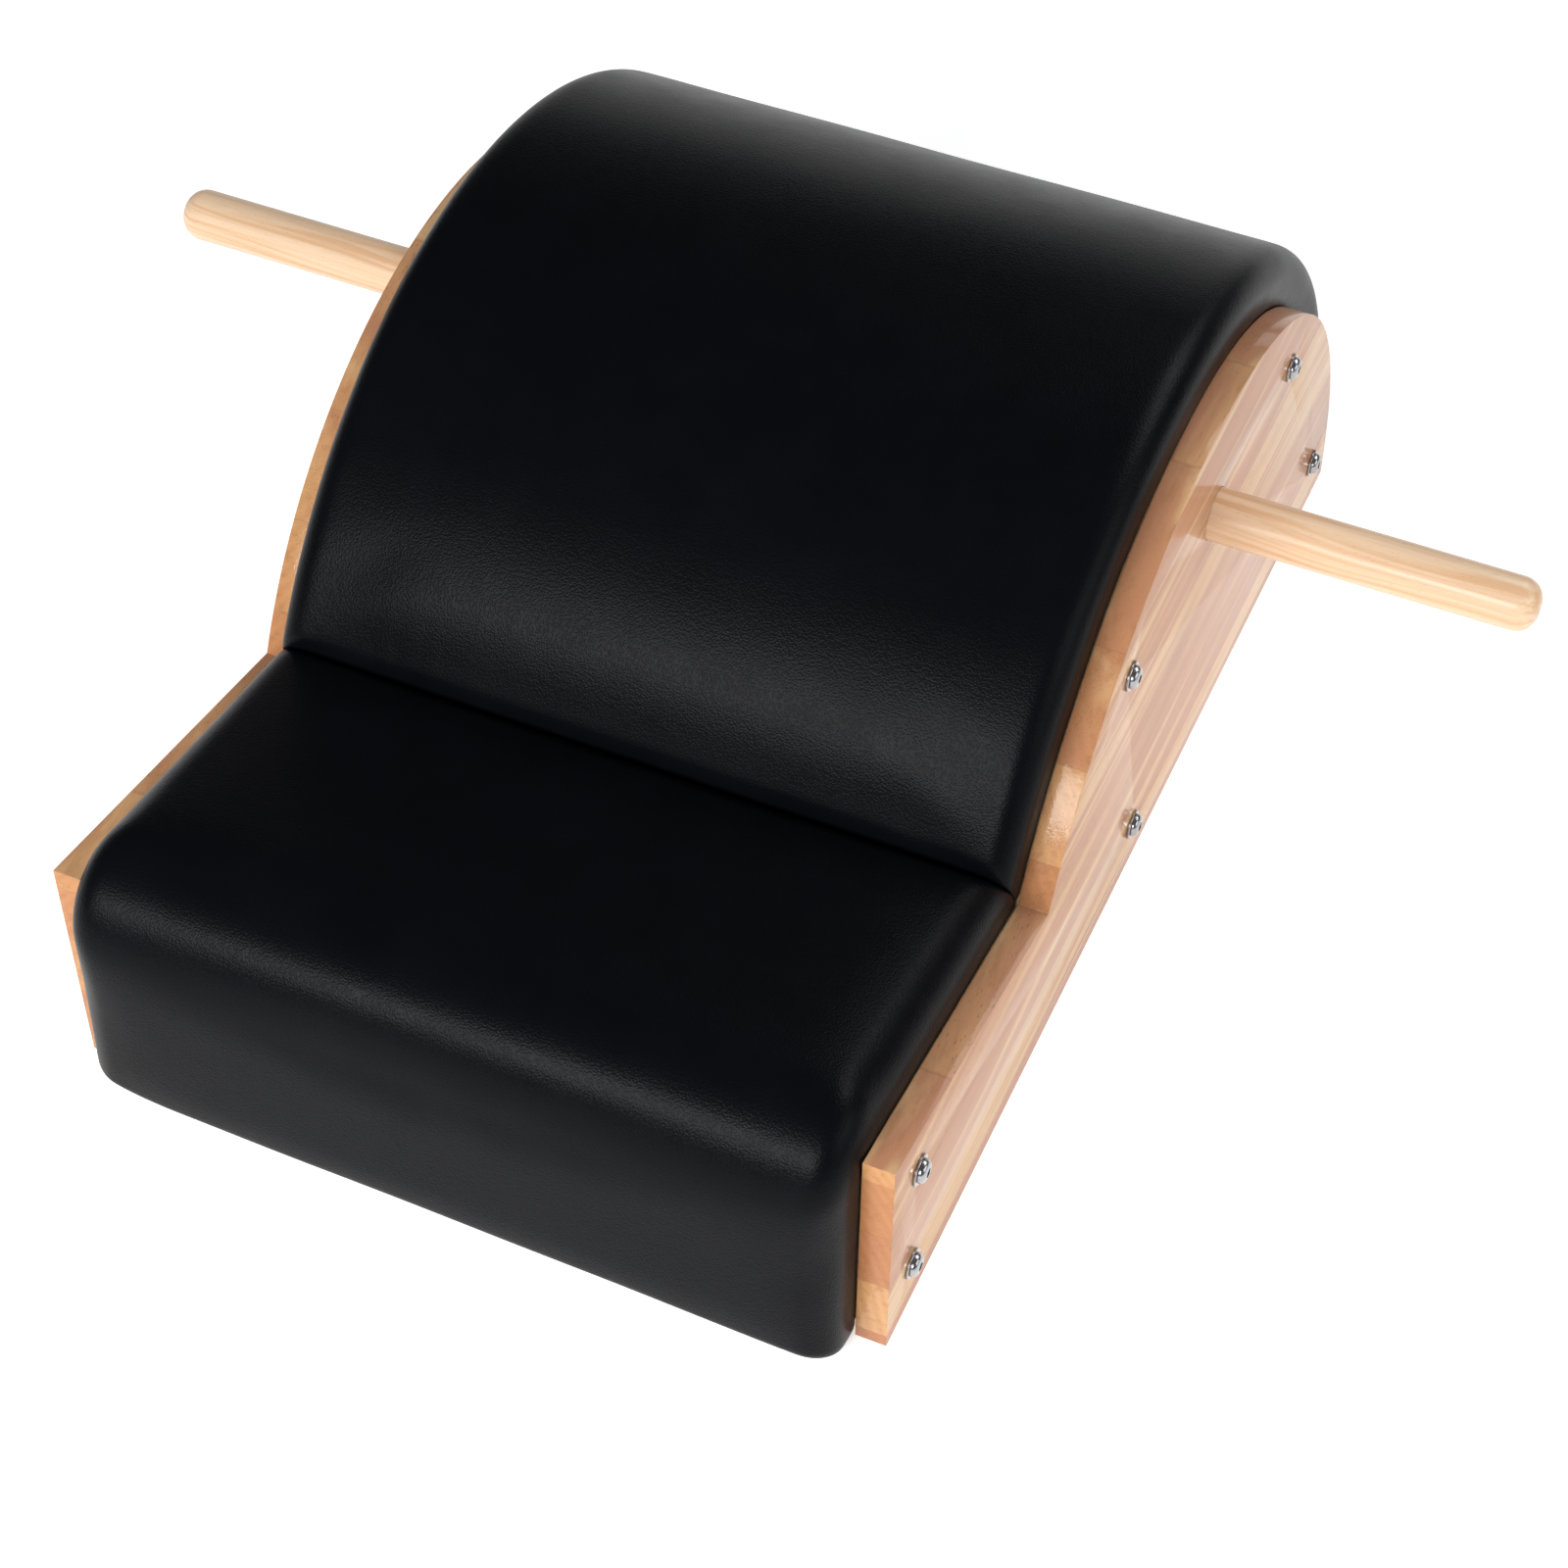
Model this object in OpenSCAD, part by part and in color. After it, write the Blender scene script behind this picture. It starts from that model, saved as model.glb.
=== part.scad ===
// Spine corrector barrel: an arched padded barrel with a low stepped seat in front of it, held between
// two solid wood side panels, with a round dowel handle standing out of each side.
// X is the width, Y runs from the seat front (-Y) to the barrel's tail (+Y), Z is up, and Z = 0 is the floor.
// Side profiles are drawn in (y, z) with y = 0 at the front edge of the side panels.

/* [Overall] */
// Width over the outer faces of the two side panels
width = 490; // [380:5:640]
// Radius of the barrel edge of a side panel
arc_r = 282; // [230:1:340]
// Distance from the front edge of a panel to the centre of its arc
arc_y = 476; // [400:1:580]
// How far the centre of the arc lies below the floor
arc_drop = 4; // [0:1:20]
// Height of a side panel at its front edge
front_h = 155; // [120:1:190]
// Fall of the seat from its front edge back to the step, in degrees
seat_fall = 9.6; // [0:0.1:14]
// Thickness of a side panel
panel_t = 18; // [12:0.5:24]

/* [Frame] */
// Thickness of the plywood skins under the pads
ply_t = 12; // [6:0.5:18]
// Distance that the skins lie below the edges of the side panels
ply_recess = 4; // [2:0.5:10]
// Width and height of the square cross rails
rail_w = 32; // [24:1:40]
// Direction from the arc centre to the front barrel rail, in degrees above the floor behind
front_rail_a = 125; // [110:1:135]
// Direction from the arc centre to the rear barrel rail, in degrees
rear_rail_a = 56; // [45:1:70]
// Direction from the arc centre to the tail rail, in degrees
tail_rail_a = 10; // [9:0.5:16]
// Distance from the front edge of a panel to the middle floor rail
mid_rail_y = 375; // [330:1:420]
// Height of the middle of the two floor rails
floor_rail_z = 36; // [30:1:60]
// Width of the ledgers that carry the skins along the side panels
ledger_w = 18; // [12:1:24]
// Depth of the ledgers
ledger_h = 20; // [12:1:26]
// Height of the lower edge of the front board above the floor
board_gap = 10; // [4:1:30]

/* [Pads] */
// Height that the pads stand above the edges of the side panels
pad_proud = 34; // [20:1:45]
// Thickness of the covers
cover_t = 1.6; // [0.8:0.1:3]
// Radius along the side edges of the pads
pad_side_r = 26; // [10:1:30]
// Radius over the front edge of the seat
seat_front_r = 50; // [30:1:70]
// Radius of the hem along the lower edge of the seat front
hem_r = 10; // [4:1:15]
// Height of the lower ends of the pads above the floor
pad_gap = 9; // [4:1:20]

/* [Handles] */
// Diameter of a dowel handle
handle_d = 32; // [25:0.5:40]
// Distance that a handle stands out of its side panel
handle_out = 192; // [120:1:240]
// Depth of the handles' axis below the top of the panels' arc
handle_below = 77; // [70:1:120]
// Radius of the rounded tip of a handle
tip_r = 13; // [4:0.5:15]
// Depth of a handle inside its socket block
handle_in = 30; // [20:1:40]
// Length of a socket block along the panel
block_l = 72; // [60:1:90]
// Height of a socket block
block_h = 60; // [50:1:70]
// Thickness of a socket block
block_t = 38; // [34:1:50]

/* [Hardware] */
// Thread diameter of the frame bolts
bolt_d = 8; // [6:1:10]
// Length of a frame bolt under its head
bolt_l = 60; // [50:1:80]
// Diameter of a frame bolt's button head
head_d = 14; // [11:0.5:18]
// Height of a frame bolt's button head
head_h = 4.4; // [3:0.1:6]
// Width across flats of the socket in a bolt head
socket_w = 5; // [4:0.5:6]
// Depth of the socket in a bolt head
socket_h = 2.6; // [1.5:0.1:3]
// Outer diameter of a bolt's washer
washer_d = 18; // [16:0.5:26]
// Thickness of a bolt's washer
washer_t = 1.6; // [1:0.1:2.5]
// Outer diameter of a threaded insert
insert_d = 12; // [11:0.5:15]
// Length of a threaded insert
insert_l = 25; // [15:1:35]
// Diameter of a skin screw's shank
screw_d = 4; // [3:0.5:5]
// Diameter of a skin screw's countersunk head
screw_head_d = 8; // [6:0.5:10]
// Length of a skin screw
screw_l = 30; // [20:1:36]
// Depth of a skin screw's head under the skin's face
screw_sink = 0.5; // [0.2:0.1:2]
// Distance from a side panel to the first skin screw
screw_edge = 50; // [30:1:90]
// Diameter of the screw that draws a handle into its block
handle_screw_d = 6; // [4:0.5:8]
// Length of that screw inside the handle
handle_screw_l = 24; // [10:1:40]
// Diameter of a foot disc
foot_d = 14; // [8:0.5:16]
// Depth of a foot disc's recess
foot_recess = 3; // [2:0.5:5]
// Height that a foot disc stands out of the panel's lower edge
foot_proud = 1; // [0.5:0.1:2]
// Distance from the front edge of a panel to its first foot
foot_inset = 45; // [30:1:80]

/* [Clearances] */
// Gap between a soft pad and the pieces round it
pad_clear = 0.5; // [0.3:0.1:1]
// Gap between a pad's foam and its cover, and under each pad
foam_clear = 0.3; // [0.2:0.1:0.6]
// Radial gap round a handle in its bore
handle_clear = 0.25; // [0.1:0.05:0.5]
// Radial gap round a bolt in its holes
bolt_clear = 0.3; // [0.2:0.05:0.6]
// Radial gap between an insert and its bolt, and round the insert
insert_clear = 0.08; // [0.05:0.01:0.2]
// Glue line between the barrel shell and the rails and ledgers under it
glue_line = 0.2; // [0.1:0.05:0.5]
// Gap between the ends of the ledgers and the rails
ledger_clear = 1; // [0.5:0.1:2]

/* [Hidden] */
$fn = 96;

big = 1500;                                   // larger than any piece, for cutting planes
arc_steps = 8;                                // flats in each rounded edge of a soft pad
step_cut = 1;                                 // each pad stays this far from the plane of the crease
inner_w = width - 2 * panel_t;                // clear width between the side panels
pad_w = inner_w - 2 * pad_clear;              // width of a pad
slope = tan(seat_fall);
shell_r = arc_r - ply_recess;                 // outer radius of the barrel shell
shell_in = shell_r - ply_t;                   // inner radius of the barrel shell
bed_r = shell_in - glue_line;                 // radius that the pieces under the shell reach
rail_r = sqrt(pow(bed_r, 2) - pow(rail_w / 2, 2)) - rail_w / 2; // radius on which the barrel rails lie
pad_r = arc_r + pad_proud;                    // radius of the barrel pad's surface
y_front = -pad_proud;                         // front of the seat pad
y_rear = arc_y + sqrt(pow(pad_r, 2) - pow(arc_drop + pad_gap, 2));
y_mid = (y_front + y_rear) / 2;               // middle of the whole object

// Height of a line that lies d above the panels' seat edge, measured square to it, at distance y
function seat_z(y, d) = front_h + d / cos(seat_fall) - slope * y;

// Where the seat edge of a panel meets its arc: the nearer root of line and circle
seat_a = 1 + pow(slope, 2);
seat_b = -2 * (arc_y + slope * (front_h + arc_drop));
seat_c = pow(arc_y, 2) + pow(front_h + arc_drop, 2) - pow(arc_r, 2);
step_y = (-seat_b - sqrt(pow(seat_b, 2) - 4 * seat_a * seat_c)) / (2 * seat_a);
step_z = seat_z(step_y, 0);

// The crease between the pads leaves the step halfway between square to the seat and square to the arc
arc_out = [step_y - arc_y, step_z + arc_drop] / arc_r;
crease = [sin(seat_fall), cos(seat_fall)] + arc_out;
crease_a = atan2(crease[1], crease[0]);

deck_back = arc_y - sqrt(pow(shell_in, 2) - pow(step_z + arc_drop, 2)) + ply_recess;
board_back = ply_recess + ply_t;
front_upper_y = board_back + rail_w / 2 * (cos(seat_fall) + sin(seat_fall));
bolt_out = width / 2 + washer_t;              // the underside of a bolt's head
screw_step = (inner_w - 2 * screw_edge) / 3;  // four skin screws stand along each rail
handle_tip = width / 2 + handle_out;
handle_z = arc_r - arc_drop - handle_below;   // height of the handles' axis above the floor
foot_ys = [foot_inset, mid_rail_y, arc_y + arc_r - foot_inset];

// Each rail: distance y, height z and the turn that lays one face against its skin
front_upper = [front_upper_y, seat_z(front_upper_y, -board_back - rail_w / 2), -seat_fall];
front_lower = [board_back + rail_w / 2, floor_rail_z, 0];
middle = [mid_rail_y, floor_rail_z, 0];
function on_arc(a) = [arc_y + rail_r * cos(a), rail_r * sin(a) - arc_drop, a];
barrel_front = on_arc(front_rail_a);
barrel_rear = on_arc(rear_rail_a);
tail = on_arc(tail_rail_a);
rails = [front_upper, front_lower, middle, barrel_front, barrel_rear, tail];

// Points along an arc about c, from direction a0 to a1
function arc_points(c, r, a0, a1) =
    [for (i = [0:arc_steps]) let (a = a0 + (a1 - a0) * i / arc_steps) c + r * [cos(a), sin(a)]];

// ---- Frames and outlines ----

// Lays an outline drawn in (y, z) across the width and moves it from the front edge to the middle
module across(w) {
    translate([0, -y_mid, 0]) rotate([90, 0, 90]) linear_extrude(height = w, center = true) children();
}

// Moves a piece drawn along +Z to stand along +X at one place of the side profile
module at_side(x, y, z) {
    translate([x, y - y_mid, z]) rotate([0, 90, 0]) children();
}

// Draws the right-hand piece, or its mirror image on the left
module side(left) {
    if (left) mirror([1, 0, 0]) children();
    else children();
}

// Everything under the line that lies d above the seat edge, from y0 back to y1
module below_seat(d, y0 = -big, y1 = arc_y) {
    polygon([[y0, -big], [y0, seat_z(y0, d)], [y1, seat_z(y1, d)], [y1, -big]]);
}

// Everything above height z
module above(z) {
    translate([-big, z]) square(2 * big);
}

// A disc on the centre of the arc
module arc_disc(r) {
    translate([arc_y, -arc_drop]) circle(r = r, $fn = 180);
}

// The half plane behind the crease, moved by d
module behind_crease(d) {
    translate([step_y, step_z]) rotate(crease_a) translate([-big, -2 * big - d]) square(2 * big);
}

// The half plane in front of the crease, moved by d
module before_crease(d) {
    translate([step_y, step_z]) rotate(crease_a) translate([-big, d]) square(2 * big);
}

module panel_arc_outline() {
    intersection() {
        arc_disc(arc_r);
        above(foot_proud);
    }
}

module panel_seat_outline() {
    polygon([[0, foot_proud], [0, front_h], [arc_y, seat_z(arc_y, 0)], [arc_y, foot_proud]]);
}

module rail_outline(rail, grow = 0) {
    translate([rail[0], rail[1]]) rotate(rail[2]) square(rail_w + 2 * grow, center = true);
}

// Side outline of the seat pad's outside, drawn in by inset
module seat_pad_outline(inset) {
    face = y_front + inset;
    top = pad_proud - inset;
    r = seat_front_r - inset;
    hem = hem_r - inset;
    cy = face + r;
    low = pad_gap + inset;
    polygon(concat(
        arc_points([face + hem, low + hem], hem, 270, 180),
        arc_points([cy, seat_z(cy, top - r)], r, 180, 90 - seat_fall),
        [[arc_y, seat_z(arc_y, top)], [arc_y, low]]
    ));
}

// Section of a pad: two square corners below and two round ones above, the top at y = 0
module pad_section(w, depth, r) {
    polygon(concat(
        arc_points([w / 2 - r, -r], r, 0, 90),
        arc_points([r - w / 2, -r], r, 90, 180),
        [[-w / 2, -depth], [w / 2, -depth]]
    ));
}

// The seat pad's solid, drawn in by inset on every outer side and let in by back on its inside
module seat_pad(inset, back = 0) {
    w = pad_w - 2 * inset;
    r = pad_side_r - inset;
    difference() {
        intersection() {
            across(w) seat_pad_outline(inset);
            translate([0, -y_mid, seat_z(0, pad_proud - inset)]) rotate([90 - seat_fall, 0, 0])
                linear_extrude(height = big, center = true) pad_section(w, big, r);
            translate([0, y_front + inset - y_mid, 0]) rotate([0, 0, 180])
                linear_extrude(height = big, center = true) pad_section(w, big, r);
        }
        across(big) below_seat(foam_clear - ply_recess - back, ply_recess - foam_clear + back);
        across(big) behind_crease(-step_cut - inset);
    }
}

// The barrel pad's solid, drawn in by inset on every outer side and let in by back on its inside
module barrel_pad(inset, back = 0) {
    w = pad_w - 2 * inset;
    r = pad_side_r - inset;
    depth = pad_proud + ply_recess - inset - foam_clear + back;
    difference() {
        translate([0, arc_y - y_mid, -arc_drop]) rotate([0, 90, 0])
            rotate_extrude($fn = 180) translate([pad_r - inset, 0]) rotate(-90) pad_section(w, depth, r);
        across(big) translate([-big, pad_gap + inset - 2 * big]) square(2 * big);
        across(big) before_crease(-step_cut - inset);
        across(big) below_seat(foam_clear - ply_recess - back);
    }
}

// ---- Hardware shapes, drawn along +Z from the face that they bear on ----

module bolt() {
    cap_r = (pow(head_d / 2, 2) + pow(head_h, 2)) / (2 * head_h);
    difference() {
        union() {
            intersection() {
                translate([0, 0, head_h - cap_r]) sphere(r = cap_r);
                cylinder(d = head_d, h = head_h);
            }
            translate([0, 0, -bolt_l]) cylinder(d = bolt_d, h = bolt_l + head_h / 4);
        }
        translate([0, 0, head_h - socket_h])
            cylinder(d = socket_w / cos(30), h = head_h, $fn = 6);
    }
}

module ring(outer, inner, h) {
    difference() {
        cylinder(d = outer, h = h);
        translate([0, 0, -h]) cylinder(d = inner, h = 3 * h);
    }
}

// A countersunk screw whose head is flush with z = 0. Where it is cut out of a piece it is grown by g,
// and its countersink runs on outwards, clear of the skin's surface.
module skin_screw(g = 0) {
    head_cone = (screw_head_d - screw_d) / 2;
    top = g > 0 ? screw_head_d : 0;
    rotate_extrude() polygon([
        [0, -screw_l - g], [screw_d / 2 + g, -screw_l - g], [screw_d / 2 + g, -head_cone],
        [screw_head_d / 2 + g, 0], [screw_head_d / 2 + g, top], [0, top]
    ]);
}

// The skin screws of one rail, which point away from direction a, with heads d away from the rail's middle
module rail_screws(rail, a, d, g) {
    for (i = [0:3])
        translate([screw_edge - inner_w / 2 + i * screw_step, rail[0] - y_mid, rail[1]])
            rotate([a - 90, 0, 0]) translate([0, 0, d]) skin_screw(g);
}

module barrel_screws(g = 0) {
    color("silver") for (rail = [barrel_front, barrel_rear, tail])
        rail_screws(rail, rail[2], shell_r - rail_r - screw_sink, g);
}

module seat_screws(g = 0) {
    color("silver") {
        rail_screws(front_upper, 90 - seat_fall, rail_w / 2 + ply_t - screw_sink, g);
        rail_screws(front_lower, 180, rail_w / 2 + ply_t - screw_sink, g);
    }
}

// Holes for a rail's bolts and inserts, at both ends
module rail_holes(rail) {
    for (left = [false, true]) side(left) at_side(inner_w / 2, rail[0], rail[1]) {
        translate([0, 0, -insert_l]) cylinder(d = insert_d + 2 * insert_clear, h = insert_l + 1);
        translate([0, 0, -bolt_l]) cylinder(d = bolt_d + 2 * bolt_clear, h = bolt_l);
    }
}

// ---- Sub-parts ----

module side_panel(left) {
    color("burlywood") side(left) difference() {
        translate([(width - panel_t) / 2, 0, 0]) union() {
            across(panel_t) panel_arc_outline();
            across(panel_t) panel_seat_outline();
        }
        at_side(0, arc_y, handle_z) cylinder(d = handle_d + 2 * handle_clear, h = big);
        for (rail = rails) at_side(0, rail[0], rail[1]) cylinder(d = bolt_d + 2 * bolt_clear, h = big);
        for (y = foot_ys) translate([(width - panel_t) / 2, y - y_mid, 0])
            cylinder(d = foot_d + 2 * insert_clear, h = foot_proud + foot_recess);
    }
}

module cross_rail(rail) {
    color("wheat") difference() {
        across(inner_w) rail_outline(rail);
        rail_holes(rail);
        barrel_screws(insert_clear);
        seat_screws(insert_clear);
    }
}

module barrel_shell() {
    color("peru") difference() {
        across(inner_w) difference() {
            arc_disc(shell_r);
            arc_disc(shell_in);
            below_seat(-ply_recess);
            translate([arc_y, -big]) square([big, big + board_gap]);
        }
        barrel_screws(insert_clear);
    }
}

module seat_deck() {
    color("peru") difference() {
        across(inner_w) difference() {
            below_seat(-ply_recess, ply_recess, deck_back);
            below_seat(-board_back);
        }
        seat_screws(insert_clear);
    }
}

module front_board() {
    color("peru") difference() {
        across(inner_w) intersection() {
            below_seat(-board_back, ply_recess, board_back);
            above(board_gap);
        }
        seat_screws(insert_clear);
    }
}

// A cross batten under the back edge of the seat deck, standing on the deck ledgers' inner faces
module step_batten() {
    color("wheat") across(inner_w - 2 * ledger_w) difference() {
        below_seat(-board_back, deck_back - rail_w, deck_back);
        below_seat(-board_back - ledger_h);
    }
}

module barrel_ledger(left) {
    color("wheat") side(left) translate([(inner_w - ledger_w) / 2, 0, 0]) across(ledger_w) difference() {
        arc_disc(bed_r);
        arc_disc(bed_r - ledger_h);
        below_seat(ledger_clear - ply_recess);
        for (rail = [barrel_front, barrel_rear, tail]) rail_outline(rail, ledger_clear);
        translate([arc_y, -big]) square([big, big + tail[1]]);
    }
}

module deck_ledger(left) {
    color("wheat") side(left) translate([(inner_w - ledger_w) / 2, 0, 0]) across(ledger_w) difference() {
        below_seat(-board_back, front_upper_y, deck_back);
        below_seat(-board_back - ledger_h);
        rail_outline(front_upper, ledger_clear);
    }
}

module seat_foam() {
    color("khaki") seat_pad(cover_t + foam_clear);
}

// Each cover is open at the back, where the foam meets the boards
module seat_cover() {
    color([0.09, 0.09, 0.1]) difference() {
        seat_pad(0);
        seat_pad(cover_t, 1);
    }
}

module barrel_foam() {
    color("khaki") barrel_pad(cover_t + foam_clear);
}

module barrel_cover() {
    color([0.09, 0.09, 0.1]) difference() {
        barrel_pad(0);
        barrel_pad(cover_t, 1);
    }
}

module handle(left) {
    bottom = inner_w / 2 - handle_in;
    length = handle_tip - bottom;
    color("tan") side(left) at_side(bottom, arc_y, handle_z) difference() {
        rotate_extrude() union() {
            square([handle_d / 2, length - tip_r]);
            square([handle_d / 2 - tip_r, length]);
            intersection() {
                translate([handle_d / 2 - tip_r, length - tip_r]) circle(r = tip_r);
                square([handle_d, length]);
            }
        }
        translate([0, 0, -1]) cylinder(d = handle_screw_d + 2 * insert_clear, h = handle_screw_l + 2);
    }
}

module handle_block(left) {
    color("wheat") side(left) difference() {
        translate([inner_w / 2 - block_t / 2, arc_y - y_mid, handle_z]) cube([block_t, block_l, block_h], center = true);
        at_side(inner_w / 2 - handle_in, arc_y, handle_z) cylinder(d = handle_d + 2 * handle_clear, h = big);
        at_side(0, arc_y, handle_z) cylinder(d = handle_screw_d + 2 * bolt_clear, h = big);
    }
}

module handle_screw(left) {
    head = 0.6 * handle_screw_d;
    color("silver") side(left) at_side(inner_w / 2 - block_t, arc_y, handle_z) union() {
        cylinder(d = handle_screw_d, h = block_t - handle_in + handle_screw_l);
        translate([0, 0, -head]) cylinder(d = 2 * handle_screw_d, h = head);
    }
}

module rail_bolts(left) {
    color("silver") side(left) for (rail = rails) at_side(bolt_out, rail[0], rail[1]) bolt();
}

module rail_washers(left) {
    color("silver") side(left) for (rail = rails)
        at_side(width / 2, rail[0], rail[1]) ring(washer_d, bolt_d + 2 * bolt_clear, washer_t);
}

module rail_inserts(left) {
    color("goldenrod") side(left) for (rail = rails)
        at_side(inner_w / 2 - insert_l, rail[0], rail[1]) ring(insert_d, bolt_d + 2 * insert_clear, insert_l);
}

module feet(left) {
    color("dimgray") side(left) for (y = foot_ys)
        translate([(width - panel_t) / 2, y - y_mid, 0]) cylinder(d = foot_d, h = foot_proud + foot_recess);
}

side_panel(true);  // side_panel_left
side_panel(false);  // side_panel_right
cross_rail(front_upper);  // front_upper_rail
cross_rail(front_lower);  // front_lower_rail
cross_rail(middle);  // middle_rail
cross_rail(barrel_front);  // barrel_front_rail
cross_rail(barrel_rear);  // barrel_rear_rail
cross_rail(tail);  // tail_rail
barrel_shell();
seat_deck();
front_board();
step_batten();
barrel_ledger(true);  // barrel_ledger_left
barrel_ledger(false);  // barrel_ledger_right
deck_ledger(true);  // deck_ledger_left
deck_ledger(false);  // deck_ledger_right
seat_foam();
seat_cover();
barrel_foam();
barrel_cover();
handle(true);  // handle_left
handle(false);  // handle_right
handle_block(true);  // handle_block_left
handle_block(false);  // handle_block_right
handle_screw(true);  // handle_screw_left
handle_screw(false);  // handle_screw_right
rail_bolts(true);  // rail_bolts_left
rail_bolts(false);  // rail_bolts_right
rail_washers(true);  // rail_washers_left
rail_washers(false);  // rail_washers_right
rail_inserts(true);  // rail_inserts_left
rail_inserts(false);  // rail_inserts_right
barrel_screws();
seat_screws();
feet(true);  // feet_left
feet(false);  // feet_right
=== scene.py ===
import math

import bmesh
import bpy
from bpy.props import FloatProperty, FloatVectorProperty, IntProperty, PointerProperty
from mathutils import Matrix, Vector, noise


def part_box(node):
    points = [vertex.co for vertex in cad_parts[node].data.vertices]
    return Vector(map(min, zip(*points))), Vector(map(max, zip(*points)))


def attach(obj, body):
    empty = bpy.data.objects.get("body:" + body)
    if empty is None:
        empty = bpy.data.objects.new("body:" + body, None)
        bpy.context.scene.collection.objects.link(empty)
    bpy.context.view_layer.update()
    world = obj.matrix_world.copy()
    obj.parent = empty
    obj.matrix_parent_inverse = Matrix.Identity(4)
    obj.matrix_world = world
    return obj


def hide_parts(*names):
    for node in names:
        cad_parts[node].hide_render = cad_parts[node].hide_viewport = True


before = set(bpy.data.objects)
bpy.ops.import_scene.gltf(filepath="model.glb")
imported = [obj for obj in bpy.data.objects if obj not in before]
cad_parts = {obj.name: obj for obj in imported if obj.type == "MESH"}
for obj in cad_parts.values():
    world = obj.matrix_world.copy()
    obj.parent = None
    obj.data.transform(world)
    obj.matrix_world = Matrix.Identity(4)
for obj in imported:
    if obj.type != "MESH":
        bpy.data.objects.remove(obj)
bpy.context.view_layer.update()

bl_info = {
    "name": "Spine corrector barrel",
    "version": (1, 0, 0),
    "blender": (4, 5, 0),
    "location": "3D View > Sidebar > Barrel",
    "description": "Builds the panels, pads, handles and hardware of a spine corrector barrel",
    "category": "Object",
}

MM = 0.001
WELD = 0.001 * MM
BODY = "root"
SIDES = {"left": -1, "right": 1}


# ---- The side profile, measured off the frame ----

def cad_corners(node):
    """The corner points of a CAD node."""
    return [v.co.copy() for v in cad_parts[node].data.vertices]


def cad_middles(node):
    """The middle of each separate solid in a CAD node, front to back."""
    mesh = bmesh.new()
    mesh.from_mesh(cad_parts[node].data)
    bmesh.ops.remove_doubles(mesh, verts=mesh.verts, dist=WELD)
    unseen = set(mesh.verts)
    middles = []
    while unseen:
        edge_of_search = [unseen.pop()]
        solid = list(edge_of_search)
        while edge_of_search:
            for edge in edge_of_search.pop().link_edges:
                for vert in edge.verts:
                    if vert in unseen:
                        unseen.remove(vert)
                        edge_of_search.append(vert)
                        solid.append(vert)
        low = Vector([min(v.co[i] for v in solid) for i in range(3)])
        high = Vector([max(v.co[i] for v in solid) for i in range(3)])
        middles.append((low + high) / 2)
    mesh.free()
    return sorted(middles, key=lambda p: (round(p.y, 4), round(p.z, 4)))


class Profile:
    """The outline that both panels share, as (y, z) points, and the planes that the pads follow."""

    def __init__(self):
        low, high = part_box("side_panel_right")
        grip_low, grip_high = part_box("handle_right")
        self.inside, self.outside = low.x, high.x
        self.front, self.foot, self.tail = low.y, low.z, high.y
        self.grip = Vector(((grip_low.y + grip_high.y) / 2, (grip_low.z + grip_high.z) / 2))
        reach = self.tail - self.grip.x
        rise = high.z - self.foot
        self.radius = (reach ** 2 + rise ** 2) / (2 * rise)
        self.centre = Vector((self.grip.x, high.z - self.radius))
        corners = cad_corners("side_panel_right")
        self.front_height = max(p.z for p in corners if p.y < self.front + MM)
        flat = [Vector((p.y, p.z)) for p in corners]
        off = 0.2 * MM
        on_arc = [p for p in flat if p.x < self.grip.x and abs((p - self.centre).length - self.radius) < off]
        self.step = min(on_arc, key=lambda p: p.y)
        self.front_top = Vector((self.front, self.front_height))
        self.along_seat = (self.step - self.front_top).normalized()
        self.off_seat = Vector((-self.along_seat.y, self.along_seat.x))
        off_arc = (self.step - self.centre).normalized()
        crease = (self.off_seat + off_arc).normalized()
        self.into_barrel = Vector((crease.y, -crease.x))

    def arc_point(self, radius, angle):
        """A point on a circle about the arc's centre."""
        return self.centre + radius * Vector((math.cos(angle), math.sin(angle)))

    def outline(self, flats):
        """The panel's outline: along the floor, up the tail, over the arc and down the seat edge."""
        first = math.asin((self.foot - self.centre.y) / self.radius)
        last = math.atan2(self.step.y - self.centre.y, self.step.x - self.centre.x)
        arc = [self.arc_point(self.radius, first + (last - first) * i / flats) for i in range(flats + 1)]
        return [Vector((self.front, self.foot))] + arc + [self.front_top]

    def crease_angle(self, radius, gap):
        """Where a circle about the arc's centre meets the plane that lies gap behind the crease."""
        offset = self.into_barrel.dot(self.step - self.centre) + gap
        lean = math.atan2(self.into_barrel.y, self.into_barrel.x)
        return lean + math.acos(offset / radius)


PROFILE = Profile()
GRIP_LOW, GRIP_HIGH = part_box("handle_right")
PAD_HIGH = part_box("barrel_cover")[1]
SEAT_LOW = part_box("seat_cover")[0]
SHELL_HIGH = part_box("barrel_shell")[1]
WASHER_LOW, WASHER_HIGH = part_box("rail_washers_right")
BOLT_LOW, BOLT_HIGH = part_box("rail_bolts_right")
FOOT_LOW, FOOT_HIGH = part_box("feet_right")


# ---- Sizes and colours that a user would change ----

def length(label, about, default, high=1.0):
    """A length in metres."""
    return FloatProperty(name=label, description=about, default=default, min=0.0, max=high, unit="LENGTH")


def angle(label, about, degrees):
    """An angle, given in degrees."""
    return FloatProperty(name=label, description=about, default=math.radians(degrees), subtype="ANGLE")


def colour(label, about, code):
    """A finish's colour, given as sRGB hex."""
    return FloatVectorProperty(name=label, description=about, default=linear(code)[:3],
                               subtype="COLOR", size=3)


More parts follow.
